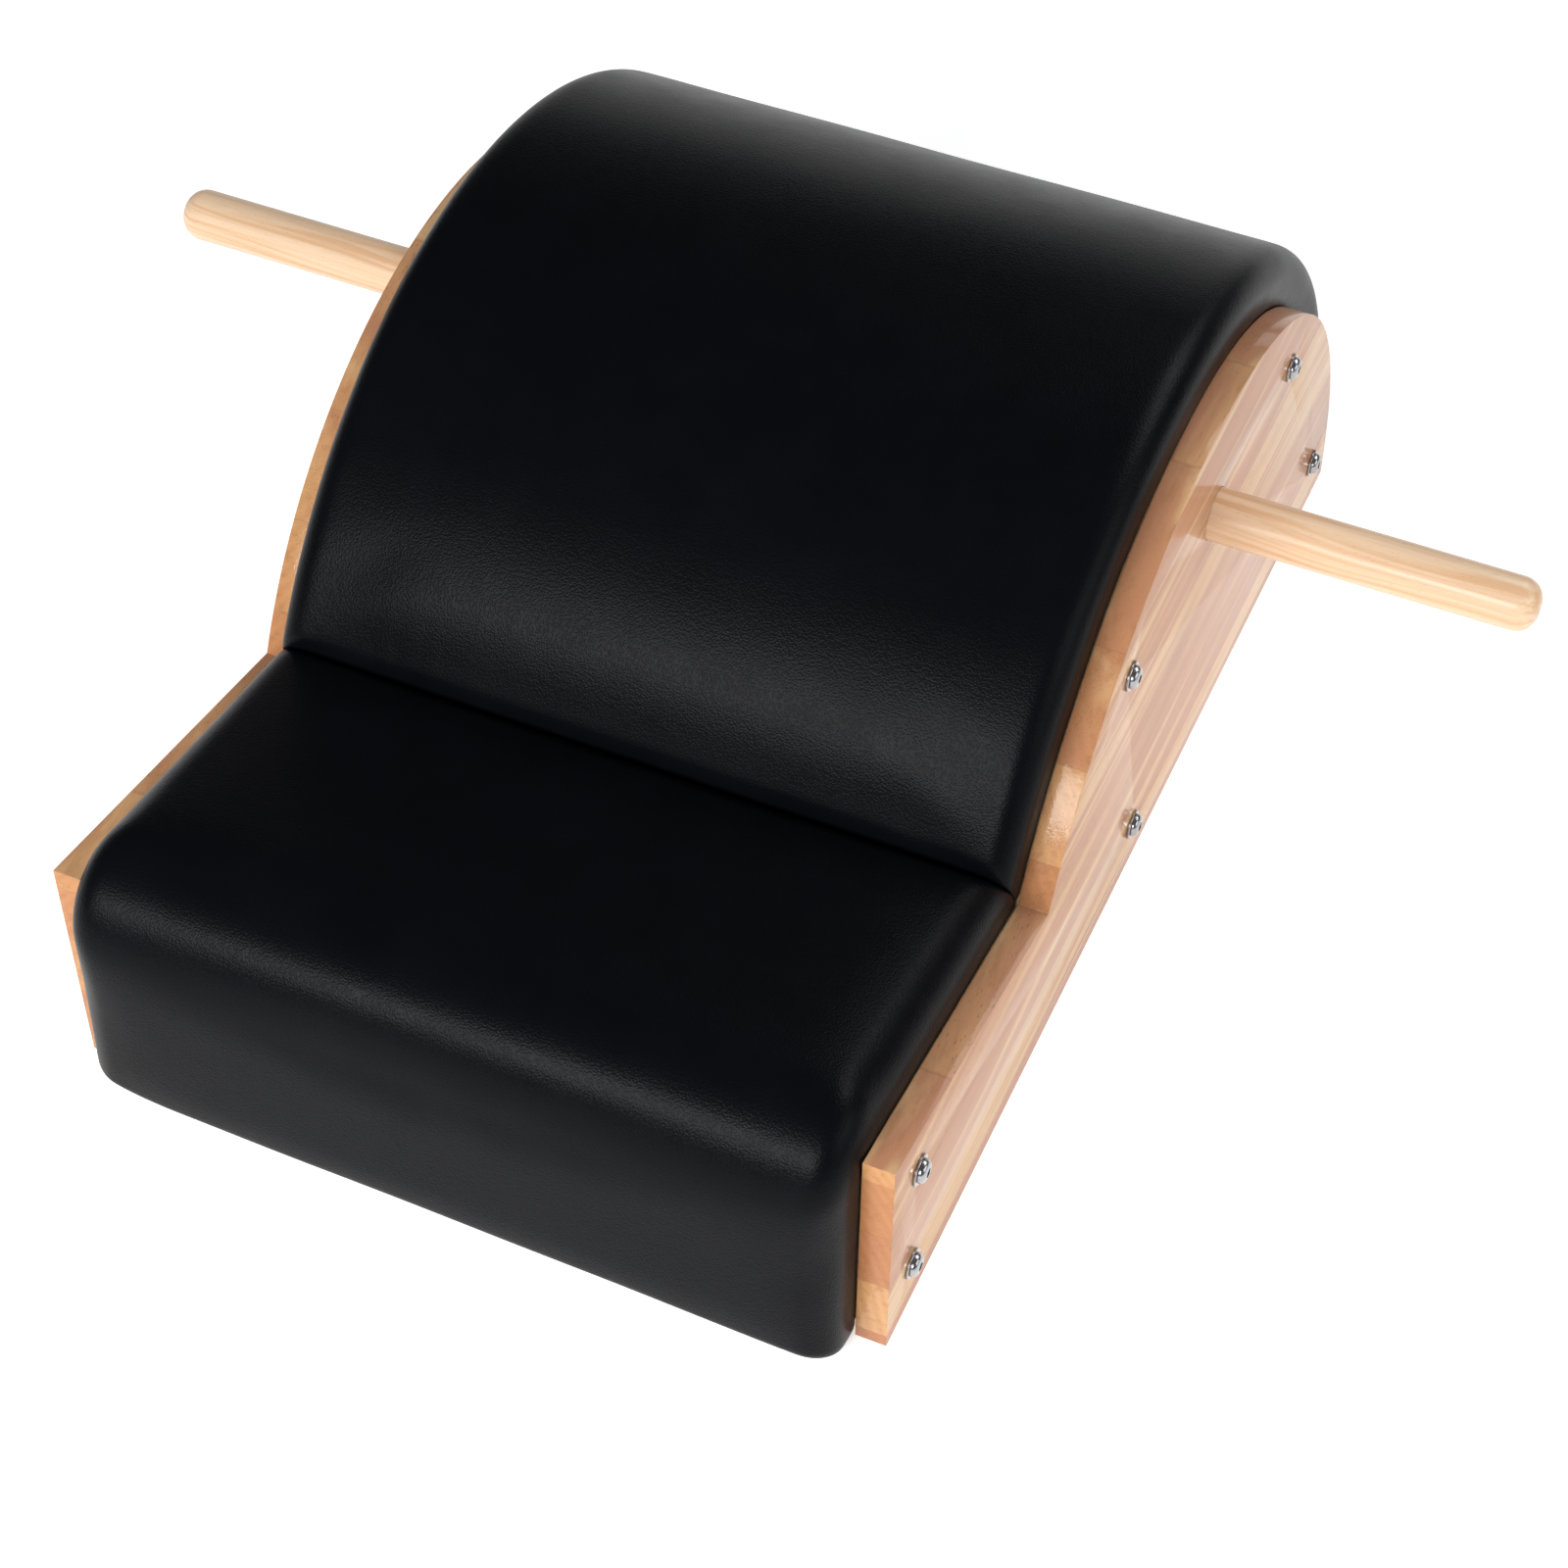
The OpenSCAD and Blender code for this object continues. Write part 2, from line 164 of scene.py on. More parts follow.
def linear(code):
    """An sRGB hex colour as linear red, green, blue and alpha."""
    parts = [int(code[i:i + 2], 16) / 255 for i in (1, 3, 5)]
    return [p / 12.92 if p <= 0.04045 else ((p + 0.055) / 1.055) ** 2.4 for p in parts] + [1.0]


class PanelSizes(bpy.types.PropertyGroup):
    arc_flats: IntProperty(name="Arc flats", description="Flats along a panel's arc", default=150, min=24)
    eased_edge: length("Eased edge", "Rounding sanded on every edge of a panel", 1.2 * MM)
    bore_gap: length("Bore gap", "Clearance round a handle where it enters its panel", 0.25 * MM)
    stave_width: length("Stave width", "Width of the glued staves", 44 * MM)


class HandleSizes(bpy.types.PropertyGroup):
    tip_round: length("Tip rounding", "Radius of the rounded edge at a handle's tip", 13 * MM)
    flats: IntProperty(name="Flats", description="Flats round a handle", default=72, min=24)


class PadSizes(bpy.types.PropertyGroup):
    seat_side_round: length("Seat side rounding", "Radius of the seat pad's long side edges", 20 * MM)
    barrel_side_round: length("Barrel side rounding", "Radius of the barrel pad's long side edges", 18 * MM)
    overhang: length("Overhang", "How far the barrel pad bulges over the panels at its tail", 6 * MM)
    crown: length("Crown", "How far the barrel pad rises above its drawn surface", 1.6 * MM)
    hem_lift: length("Hem lift", "How much higher the cover is stapled at the left of its front edge", 8 * MM)
    corner_lift: length("Corner lift", "How much more the left front corner is drawn up", 10 * MM)
    corner_drop: length("Corner drop", "How much lower the right front corner hangs beside its panel", 8 * MM)
    front_round: length("Front rounding", "Radius over the seat's front edge", 50 * MM)
    crease_round: length("Crease rounding", "Radius at which a pad rolls into the crease", 7 * MM)
    hem_round: length("Hem rounding", "Radius at which a pad rolls under at its hem", 9 * MM)
    mesh_step: length("Mesh step", "Length of the pad mesh's faces before they are divided", 7 * MM)
    seat_inset: length("Seat inset", "How far inside its final surface the seat pad starts", 1.6 * MM)
    barrel_inset: length("Barrel inset", "How far inside its final surface the barrel pad starts", 0.4 * MM)
    swell: length("Swell", "Most that the stuffing pushes a pad's face outwards", 3.2 * MM)
    pressure: FloatProperty(name="Pressure", description="Pressure of the stuffing", default=4.0, min=0.0)
    seed: IntProperty(name="Wrinkle seed", description="Seed of the cover's faint wrinkles", default=7)


class HardwareSizes(bpy.types.PropertyGroup):
    shank: length("Shank radius", "Radius of a bolt's shank", 4 * MM)
    socket: length("Socket", "Width across the flats of a bolt's hexagon socket", 5 * MM)
    socket_depth: length("Socket depth", "Depth of a bolt's socket", 2.4 * MM)
    seed: IntProperty(name="Turn seed", description="Seed of the angle at which each bolt stopped", default=3)


class FinishColours(bpy.types.PropertyGroup):
    wood_light: colour("Light wood", "Palest staves", "#D9B286")
    wood_mid: colour("Middle wood", "Common tone of the staves", "#CA9B6E")
    wood_pink: colour("Pink wood", "Rosy heart staves", "#B98363")
    handle_wood: colour("Handle wood", "Turned handles", "#E8C9A8")
    leather: colour("Leather", "Pad covers", "#060709")
    softwood: colour("Softwood", "Hidden rails", "#D9BC8C")
    birch: colour("Birch", "Plywood faces", "#DCC39C")


class StageSettings(bpy.types.PropertyGroup):
    lens: length("Lens", "Focal length on a 36 mm sensor", 76.713 * MM)
    azimuth: angle("Azimuth", "Camera turn", 23.36)
    elevation: angle("Elevation", "Camera height", 47.39)
    roll: angle("Roll", "Camera roll", 0.68)
    camera_place: FloatVectorProperty(name="Camera place", description="Where the camera stands",
                                      default=(0.58162, -1.30395, 1.50991), subtype="XYZ", unit="LENGTH")
    floor_size: length("Floor size", "Width of the square floor", 14.0, high=40.0)


# ---- Nodes and materials ----

def wire(tree, node, inputs):
    """Links or sets a node's inputs."""
    for key, value in inputs.items():
        if isinstance(value, bpy.types.NodeSocket):
            tree.links.new(value, node.inputs[key])
        else:
            node.inputs[key].default_value = value


def add(tree, kind, inputs=None, **settings):
    """Adds a node, sets its properties, and links or sets its inputs."""
    node = tree.nodes.new(kind)
    for name, value in settings.items():
        setattr(node, name, value)
    wire(tree, node, inputs or {})
    return node


def finish(name, build):
    """The material of that name, built by its own function the first time that a piece asks for it."""
    made = bpy.data.materials.get(name)
    if made is None:
        made = bpy.data.materials.new(name)
        made.use_nodes = True
        tree = made.node_tree
        tree.nodes.clear()
        shader = add(tree, "ShaderNodeBsdfPrincipled")
        add(tree, "ShaderNodeOutputMaterial", {"Surface": shader.outputs["BSDF"]})
        build(tree, shader, add(tree, "ShaderNodeTexCoord").outputs["Object"])
    return made


def hue(name):
    """A colour chosen in the sidebar, with alpha."""
    return list(getattr(bpy.context.scene.barrel_finish, name)) + [1.0]


SMOOTH = {"interpolation_type": "SMOOTHSTEP"}


def tint(tree, base, colour, *shares):
    """Lays a colour over the base by the product of its shares, which are patterns or plain numbers."""
    share = shares[0]
    for other in shares[1:]:
        share = add(tree, "ShaderNodeMath", {0: share, 1: other}, operation="MULTIPLY").outputs[0]
    mixed = add(tree, "ShaderNodeMix", {0: share, 6: base, 7: colour}, data_type="RGBA")
    return mixed.outputs[2]


def mottle(tree, base, pattern, darkest, palest):
    """Darkens and lightens a colour as a pattern goes from 0 to 1."""
    tone = add(tree, "ShaderNodeMapRange", {"Value": pattern, "To Min": darkest, "To Max": palest}).outputs[0]
    grey = add(tree, "ShaderNodeCombineColor", {0: tone, 1: tone, 2: tone}).outputs[0]
    mixed = add(tree, "ShaderNodeMix", {0: 1.0, 6: base, 7: grey}, data_type="RGBA", blend_type="MULTIPLY")
    return mixed.outputs[2]


def bend(tree, place, aside, waver):
    """The place, moved aside by as much as a wavering pattern says."""
    push = add(tree, "ShaderNodeVectorMath", {0: aside, "Scale": waver}, operation="SCALE")
    return add(tree, "ShaderNodeVectorMath", {0: place, 1: push.outputs[0]}, operation="ADD").outputs[0]


def grain_noise(tree, place, size_mm, detail=3.0, rough=0.5, between=None):
    """Noise whose cells are as long as size_mm says along x, y and z. With between, it is a share that
    goes from 0 to 1 between those two values of the noise."""
    per_metre = [1 / (s * MM) for s in size_mm]
    scaled = add(tree, "ShaderNodeVectorMath", {0: place, 1: per_metre}, operation="MULTIPLY").outputs[0]
    made = add(tree, "ShaderNodeTexNoise",
               {"Vector": scaled, "Scale": 1.0, "Detail": detail, "Roughness": rough}).outputs["Fac"]
    if between:
        low, high = between
        limits = {"Value": made, "From Min": low, "From Max": high}
        made = add(tree, "ShaderNodeMapRange", limits, **SMOOTH).outputs[0]
    return made


def pore_dashes(tree, place, size_mm, threshold):
    """Open pores: short dashes along the grain, and dots where the grain ends."""
    per_metre = [1 / (s * MM) for s in size_mm]
    scaled = add(tree, "ShaderNodeVectorMath", {0: place, 1: per_metre}, operation="MULTIPLY")
    cells = add(tree, "ShaderNodeTexVoronoi", {"Vector": scaled.outputs[0], "Scale": 1.0, "Randomness": 1.0})
    limits = {"Value": cells.outputs["Distance"], "From Min": threshold, "From Max": threshold * 0.55}
    return add(tree, "ShaderNodeMapRange", limits, **SMOOTH).outputs[0]


# height of the lowest glue line, and the seed of the order of pale and rosy staves
STAVE_START = 10 * MM
STAVE_SEED = 375.0


def lacquered_staves(tree, shader, place):
    """Edge-glued rubberwood, sanded and gloss lacquered: pale and rosy staves in one plank, open pores
    as fine dashes, and a hard clear film that mirrors what stands beside it."""
    sizes = bpy.context.scene.barrel_panel
    parts = add(tree, "ShaderNodeSeparateXYZ", {"Vector": place})
    height = add(tree, "ShaderNodeMath", {0: parts.outputs["Z"], 1: STAVE_START}, operation="SUBTRACT")
    row = add(tree, "ShaderNodeMath", {0: height.outputs[0], 1: sizes.stave_width}, operation="DIVIDE")
    stave = add(tree, "ShaderNodeMath", {0: row.outputs[0]}, operation="FLOOR")
    hand = add(tree, "ShaderNodeMath", {0: parts.outputs["X"]}, operation="SIGN")
    key = add(tree, "ShaderNodeCombineXYZ", {"X": stave.outputs[0], "Y": hand.outputs[0], "Z": STAVE_SEED})
    pick = add(tree, "ShaderNodeTexWhiteNoise", {"Vector": key.outputs[0]}, noise_dimensions="3D")
    shifted = add(tree, "ShaderNodeVectorMath", {0: pick.outputs["Color"], 1: place}, operation="ADD")
    inside = shifted.outputs[0]
    bent = bend(tree, inside, [0.02, 0.0, 0.03], grain_noise(tree, inside, (60, 420, 60), 1.0))
    figure = grain_noise(tree, bent, (22, 520, 19), 2.0, 0.5)
    streaks = grain_noise(tree, bent, (6, 260, 5), 3.0, 0.6, between=(0.5, 0.68))
    fibres = grain_noise(tree, bent, (0.7, 22, 0.7), 2.0, 0.6)
    pores = pore_dashes(tree, bent, (1.5, 16, 1.5), 0.22)
    patches = grain_noise(tree, inside, (30, 120, 24), 1.0, between=(0.42, 0.62))
    open_pores = add(tree, "ShaderNodeMath", {0: pores, 1: patches}, operation="MULTIPLY").outputs[0]
    tone = add(tree, "ShaderNodeValToRGB", {"Fac": pick.outputs["Value"]})
    tone.color_ramp.elements[0].color = hue("wood_light")
    tone.color_ramp.elements[1].color = hue("wood_pink")
    middle = tone.color_ramp.elements.new(0.5)
    middle.color = hue("wood_mid")

    # how squarely a face cuts across the grain, and how much of the long figure it still shows
    normal = add(tree, "ShaderNodeNewGeometry").outputs["Normal"]
    facing = add(tree, "ShaderNodeSeparateXYZ", {"Vector": normal})
    cut = add(tree, "ShaderNodeMath", {0: facing.outputs["Y"]}, operation="ABSOLUTE").outputs[0]
    limits = {"Value": cut, "From Min": 0.1, "From Max": 1.15}
    end = add(tree, "ShaderNodeMapRange", limits, **SMOOTH).outputs[0]
    along_grain = add(tree, "ShaderNodeMath", {0: 1.0, 1: end}, operation="SUBTRACT").outputs[0]
    rosy = add(tree, "ShaderNodeMapRange", {"Value": figure, "From Min": 0.48, "From Max": 0.64}, **SMOOTH)
    base = tint(tree, tone.outputs["Color"], hue("wood_pink"), rosy.outputs[0], along_grain)
    pale = add(tree, "ShaderNodeMapRange", {"Value": figure, "From Min": 0.46, "From Max": 0.3}, **SMOOTH)
    base = tint(tree, base, hue("wood_light"), pale.outputs[0], along_grain)

    # growth rings about a heart that lies a little off in each stave
    nudge = add(tree, "ShaderNodeVectorMath", {0: pick.outputs["Color"], "Scale": 0.06}, operation="SCALE")
    heart = add(tree, "ShaderNodeVectorMath", {0: place, 1: nudge.outputs[0]}, operation="ADD")
    rings = add(tree, "ShaderNodeTexWave", {"Vector": heart.outputs[0], "Scale": 48.0, "Distortion": 5.0,
                                            "Detail": 2.0, "Detail Scale": 0.4},
                wave_type="RINGS", rings_direction="Y")
    base = tint(tree, base, linear("#9A6844"), rings.outputs["Fac"], end, 0.2)
    base = tint(tree, base, linear("#A06F4A"), streaks, 0.32)
    base = mottle(tree, base, fibres, 0.86, 1.1)
    base = tint(tree, base, linear("#6B4024"), open_pores, 0.55)
    darker_end = add(tree, "ShaderNodeMix", {0: end, 6: base, 7: linear("#F1DFCA")},
                     data_type="RGBA", blend_type="MULTIPLY")

    # a thin dark glue line between one stave and the next
    glue = add(tree, "ShaderNodeMath", {0: row.outputs[0]}, operation="FRACT")
    off_middle = add(tree, "ShaderNodeMath", {0: glue.outputs[0], 1: 0.5}, operation="SUBTRACT")
    away = add(tree, "ShaderNodeMath", {0: off_middle.outputs[0]}, operation="ABSOLUTE").outputs[0]
    limits = {"Value": away, "From Min": 0.4925, "From Max": 0.4985}
    joint = add(tree, "ShaderNodeMapRange", limits, **SMOOTH)
    base = tint(tree, darker_end.outputs[2], linear("#7A4B2C"), joint.outputs[0], 0.2)

    lumps = grain_noise(tree, inside, (7, 60, 7), 2.0)
    relief = add(tree, "ShaderNodeBump", {"Height": lumps, "Strength": 0.12, "Distance": 0.6 * MM})
    raised = grain_noise(tree, inside, (1.6, 8, 1.6), 2.0, 0.6)
    rough_end = add(tree, "ShaderNodeMath", {0: end, 1: 0.35}, operation="MULTIPLY")
    relief = add(tree, "ShaderNodeBump", {"Height": raised, "Normal": relief.outputs[0],
                                          "Strength": rough_end.outputs[0], "Distance": 0.4 * MM})
    sunk = add(tree, "ShaderNodeBump", {"Height": open_pores, "Normal": relief.outputs[0],
                                        "Strength": 0.3, "Distance": -0.15 * MM})
    wire(tree, shader, {"Base Color": base, "Normal": sunk.outputs[0], "Coat Normal": relief.outputs[0],
                        "Roughness": 0.5, "Specular IOR Level": 0.1, "Coat Weight": 0.5,
                        "Coat Roughness": 0.09, "Coat IOR": 1.4})


def lacquered_dowel(tree, shader, place):
    """Turned hardwood dowel, gloss lacquered: straight figure along its length, soft cathedral
    lines, fine pores, and one long narrow highlight."""
    bent = bend(tree, place, [0.0, 0.012, 0.02], grain_noise(tree, place, (180, 40, 40), 1.0))
    figure = grain_noise(tree, bent, (260, 7, 3.2), 2.0, 0.55, between=(0.42, 0.66))
    lines = grain_noise(tree, bent, (120, 2.0, 1.1), 2.0, 0.6, between=(0.54, 0.78))
    fibres = grain_noise(tree, place, (14, 0.6, 0.6), 2.0, 0.6)
    pores = pore_dashes(tree, bent, (9, 1.1, 1.1), 0.16)
    base = tint(tree, hue("handle_wood"), linear("#DBB28B"), figure)
    base = tint(tree, base, linear("#B5814F"), lines, 0.16)
    base = mottle(tree, base, fibres, 0.9, 1.08)
    base = tint(tree, base, linear("#7C4F2E"), pores, 0.3)
    lumps = grain_noise(tree, place, (22, 5, 5), 2.0)
    relief = add(tree, "ShaderNodeBump", {"Height": lumps, "Strength": 0.15, "Distance": 0.5 * MM})
    wire(tree, shader, {"Base Color": base, "Normal": relief.outputs[0], "Coat Normal": relief.outputs[0],
                        "Roughness": 0.4, "Specular IOR Level": 0.2, "Coat Weight": 0.3,
                        "Coat Roughness": 0.24, "Coat IOR": 1.45})


def embossed_leather(tree, shader, place):
    """Synthetic leather, coated and embossed with a fine pebble: near black, with a soft wide sheen
    that breaks into small glints. The pebble is drawn at 1.3 mm, a little coarser than the real one."""
    loose = grain_noise(tree, place, (3.2, 3.2, 3.2), 3.0, 0.6)
    bent = bend(tree, place, [0.0012, 0.0012, 0.0012], loose)
    cells = add(tree, "ShaderNodeTexVoronoi", {"Vector": bent, "Scale": 1 / (1.3 * MM), "Randomness": 0.9},
                feature="F1")
    limits = {"Value": cells.outputs["Distance"], "From Min": 0.75, "From Max": 0.15}
    pebble = add(tree, "ShaderNodeMapRange", limits, **SMOOTH)
    cloud = grain_noise(tree, place, (38, 38, 38), 2.0, 0.5)
    base = tint(tree, hue("leather"), linear("#0B0C10"), cloud)
    soft = grain_noise(tree, place, (26, 26, 26), 3.0, 0.6)
    dull = add(tree, "ShaderNodeMapRange", {"Value": soft, "To Min": 0.27, "To Max": 0.38})
    waves = add(tree, "ShaderNodeBump", {"Height": soft, "Strength": 0.1, "Distance": 1.2 * MM})
    relief = add(tree, "ShaderNodeBump", {"Height": pebble.outputs[0], "Normal": waves.outputs[0],
                                          "Strength": 0.5, "Distance": 0.14 * MM})
    wire(tree, shader, {"Base Color": base, "Roughness": dull.outputs[0], "Normal": relief.outputs[0],
                        "Specular IOR Level": 0.055, "IOR": 1.5})


def bright_steel(tree, shader, place):
    """Nickel plated steel, barrel polished: near mirror, its reflections softened unevenly by handling."""
    wear = grain_noise(tree, place, (2.4, 2.4, 2.4), 2.0)
    base = tint(tree, linear("#98999C"), linear("#B2B3B6"), wear)
    polish = add(tree, "ShaderNodeMapRange", {"Value": wear, "To Min": 0.2, "To Max": 0.28})
    wire(tree, shader, {"Base Color": base, "Roughness": polish.outputs[0], "Metallic": 1.0})


def planed_softwood(tree, shader, place):
    """Planed softwood rail: straight growth lines along its length, matt and unlacquered."""
    lines = grain_noise(tree, place, (400, 3.5, 3.5), 2.0, 0.6, between=(0.4, 0.68))
    fibres = grain_noise(tree, place, (25, 0.9, 0.9), 2.0)
    base = tint(tree, hue("softwood"), linear("#B98D57"), lines)
    base = tint(tree, base, linear("#C9A574"), fibres, 0.3)
    relief = add(tree, "ShaderNodeBump", {"Height": fibres, "Strength": 0.25, "Distance": 0.2 * MM})
    wire(tree, shader, {"Base Color": base, "Normal": relief.outputs[0], "Roughness": 0.62})


def birch_plywood(tree, shader, place):
    """Birch plywood, sanded: pale rotary-cut faces with faint long figure, matt."""
    figure = grain_noise(tree, place, (320, 26, 14), 3.0, 0.55, between=(0.38, 0.66))
    fibres = grain_noise(tree, place, (18, 1.0, 1.0), 2.0)
    base = tint(tree, hue("birch"), linear("#C9A877"), figure)
    base = tint(tree, base, linear("#B8935F"), fibres, 0.25)
    relief = add(tree, "ShaderNodeBump", {"Height": fibres, "Strength": 0.2, "Distance": 0.15 * MM})
    wire(tree, shader, {"Base Color": base, "Normal": relief.outputs[0], "Roughness": 0.58})


def turned_brass(tree, shader, place):
    """Turned brass insert: yellow metal with fine tool marks round it."""
    marks = grain_noise(tree, place, (0.4, 4, 4), 2.0)
    base = tint(tree, linear("#C9A04E"), linear("#DDBB70"), marks)
    relief = add(tree, "ShaderNodeBump", {"Height": marks, "Strength": 0.15, "Distance": 0.1 * MM})
    wire(tree, shader, {"Base Color": base, "Normal": relief.outputs[0], "Metallic": 1.0,
                        "Roughness": 0.3})


def zinc_plate(tree, shader, place):
    """Zinc plated screws: a soft grey metal with a slightly cloudy plate."""
    cloud = grain_noise(tree, place, (2, 2, 2), 2.0)
    base = tint(tree, linear("#A7A9AC"), linear("#C4C6C8"), cloud)
    polish = add(tree, "ShaderNodeMapRange", {"Value": cloud, "To Min": 0.28, "To Max": 0.42})
    wire(tree, shader, {"Base Color": base, "Roughness": polish.outputs[0], "Metallic": 1.0})


def moulded_rubber(tree, shader, place):
    """Moulded rubber foot disc: dark grey, matt, with a faint bloom."""
    bloom = grain_noise(tree, place, (5, 5, 5), 2.0)
    base = tint(tree, linear("#1B1B1C"), linear("#2A2A2B"), bloom)
    relief = add(tree, "ShaderNodeBump", {"Height": bloom, "Strength": 0.2, "Distance": 0.2 * MM})
    wire(tree, shader, {"Base Color": base, "Normal": relief.outputs[0], "Roughness": 0.75})


def pale_paint(tree, shader, place):
    """Matt white painted studio floor."""
    cloud = grain_noise(tree, place, (600, 600, 600), 1.0)
    base = tint(tree, linear("#FAFAFA"), linear("#FCFCFC"), cloud)
    wire(tree, shader, {"Base Color": base, "Roughness": 0.9, "Specular IOR Level": 0.1,
                        "Emission Color": linear("#FFFFFF"), "Emission Strength": 0.5})


# ---- Making and finishing meshes ----

def piece(name, mesh, material):
    """A new object at the origin that shows this bmesh, which is freed."""
    data = bpy.data.meshes.new(name)
    bmesh.ops.recalc_face_normals(mesh, faces=mesh.faces)
    mesh.to_mesh(data)
    mesh.free()
    data.materials.append(material)
    made = bpy.data.objects.new(name, data)
    bpy.context.scene.collection.objects.link(made)
    return made


def settle(obj):
    """Applies every modifier and leaves a plain mesh."""
    shown = obj.evaluated_get(bpy.context.evaluated_depsgraph_get())
    data = bpy.data.meshes.new_from_object(shown)
    data.name = obj.name
    old = obj.data
    obj.modifiers.clear()
    obj.data = data
    bpy.data.meshes.remove(old)
    return obj


def shade(obj, sharp_degrees=40, flat_axis=None):
    """Smooth faces with sharp edges above an angle. Faces square to flat_axis stay flat."""
    for face in obj.data.polygons:
        face.use_smooth = flat_axis is None or abs(face.normal[flat_axis]) < 0.9999
    obj.data.set_sharp_from_angle(angle=math.radians(sharp_degrees))


def mount(obj, slot, *nodes):
    """Puts a finished piece on the body in place of its CAD nodes."""
    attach(obj, BODY)
    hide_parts(*nodes)


def quarter_turn(steps):
    """Angles from nothing to a right angle."""
    return [math.pi / 2 * i / steps for i in range(steps + 1)]


def join_rings(mesh, rings, closed=False):
    """Faces between each ring of points and the next. Every ring goes round the same way."""
    rows = [[mesh.verts.new(p) for p in ring] for ring in rings]
    pairs = list(zip(rows, rows[1:]))
    if closed:
        pairs.append((rows[-1], rows[0]))
    for first, second in pairs:
        for i in range(len(first)):
            j = (i + 1) % len(first)
            mesh.faces.new((first[i], first[j], second[j], second[i]))
    return rows


def turned(along_and_radius, flats, place, closed=False):
    """A mesh turned about the X axis at a place. A radius may be a function of the angle."""
    mesh = bmesh.new()
    rings = []
    for along, radius in along_and_radius:
        ring = []
        for i in range(flats):
            angle = 2 * math.pi * i / flats
            reach = radius(angle) if callable(radius) else radius
            ring.append(Vector((along, reach * math.cos(angle), reach * math.sin(angle))) + place)
        rings.append(ring)
    rows = join_rings(mesh, rings, closed)
    if not closed:
        for row in (rows[0], rows[-1]):
            mesh.faces.new(row)
    return mesh


def rod(axis, radius, start, end, place, flats):
    """A plain cylinder along one axis, for cutting holes."""
    mesh = turned([(start, radius), (end, radius)], flats, Vector((0, 0, 0)))
    if axis == 2:
        bmesh.ops.rotate(mesh, verts=mesh.verts, matrix=Matrix.Rotation(-math.pi / 2, 3, "Y"))
    bmesh.ops.translate(mesh, verts=mesh.verts, vec=place)
    return mesh


# ---- Panels and handles ----

SHANK_GAP = 0.3 * MM
FOOT_GAP = 0.1 * MM
BORE_FLATS = 96
RECESS_FLATS = 48
CUT_REACH = 20 * MM
RECESS_REACH = 10 * MM


class BARREL_OT_side_panels(bpy.types.Operator):
    """Cuts both side panels from staved plank, bores them and eases their edges"""
    bl_idname = "barrel.side_panels"
    bl_label = "Side panels"

    def execute(self, context):
        sizes = context.scene.barrel_panel
        grip_radius = (GRIP_HIGH.z - GRIP_LOW.z) / 2
        foot_radius = (FOOT_HIGH.x - FOOT_LOW.x) / 2
        wood = finish("Rubberwood staves, lacquered", lacquered_staves)
        outline = PROFILE.outline(sizes.arc_flats)
        for side, hand in SIDES.items():
            mesh = bmesh.new()
            rows = join_rings(mesh, [[(hand * x, p.x, p.y) for p in outline]
                                     for x in (PROFILE.inside, PROFILE.outside)])
            for row in rows:
                mesh.faces.new(row)
            panel = piece("panel_" + side, mesh, wood)
            cuts = bmesh.new()
            bores = [(PROFILE.grip, grip_radius + sizes.bore_gap)]
            bores += [(m.yz, context.scene.barrel_hardware.shank + SHANK_GAP)
                      for m in cad_middles("rail_bolts_" + side)]
            for spot, radius in bores:
                middle = Vector((hand * (PROFILE.inside + PROFILE.outside) / 2, spot.x, spot.y))
                self.take_in(cuts, rod(0, radius, -CUT_REACH, CUT_REACH, middle, BORE_FLATS))
            for foot in cad_middles("feet_" + side):
                place = Vector((foot.x, foot.y, FOOT_HIGH.z))
                self.take_in(cuts, rod(2, foot_radius + FOOT_GAP, -RECESS_REACH, 0, place, RECESS_FLATS))
            cutter = piece("panel_cutter", cuts, wood)
            bored = panel.modifiers.new("Bores", "BOOLEAN")
            bored.object = cutter
            bored.solver = "EXACT"
            eased = panel.modifiers.new("Eased edges", "BEVEL")
            eased.width = sizes.eased_edge
            eased.segments = 3
            eased.limit_method = "ANGLE"
            eased.angle_limit = math.radians(35)
            settle(panel)
            bpy.data.objects.remove(cutter)
            shade(panel, flat_axis=0)
            mount(panel, "panel_wood", "side_panel_" + side)
        return {"FINISHED"}

    @staticmethod
    def take_in(mesh, other):
        """Adds another bmesh to this one."""
        carried = bpy.data.meshes.new("carried")
        bmesh.ops.recalc_face_normals(other, faces=other.faces)
        other.to_mesh(carried)
        other.free()
        mesh.from_mesh(carried)
        bpy.data.meshes.remove(carried)


class BARREL_OT_handles(bpy.types.Operator):
    """Turns the two dowel handles with their rounded tips"""
    bl_idname = "barrel.handles"
    bl_label = "Handles"

    def execute(self, context):
        sizes = context.scene.barrel_handle
        radius = (GRIP_HIGH.z - GRIP_LOW.z) / 2
        start, tip = GRIP_LOW.x, GRIP_HIGH.x
        steps = 10
        corner = [(tip - sizes.tip_round * (1 - math.sin(a)), radius - sizes.tip_round * (1 - math.cos(a)))
                  for a in quarter_turn(steps)]
        stretches = 12
        chamfer = 1.5 * MM
        stretch = (tip - sizes.tip_round - start) / stretches
        straight = [(start + stretch * i, radius) for i in range(stretches)]
        profile = [(start, radius - chamfer), (start + chamfer, radius)] + straight[1:] + corner
        wood = finish("Rubberwood dowel, lacquered", lacquered_dowel)
        for side, hand in SIDES.items():
            place = Vector((0, PROFILE.grip.x, PROFILE.grip.y))
            mesh = turned([(hand * along, r) for along, r in profile], sizes.flats, place)
            handle = piece("handle_dowel_" + side, mesh, wood)
            shade(handle, flat_axis=0)
            mount(handle, "handle_wood", "handle_" + side)
        return {"FINISHED"}


# ---- Pads ----

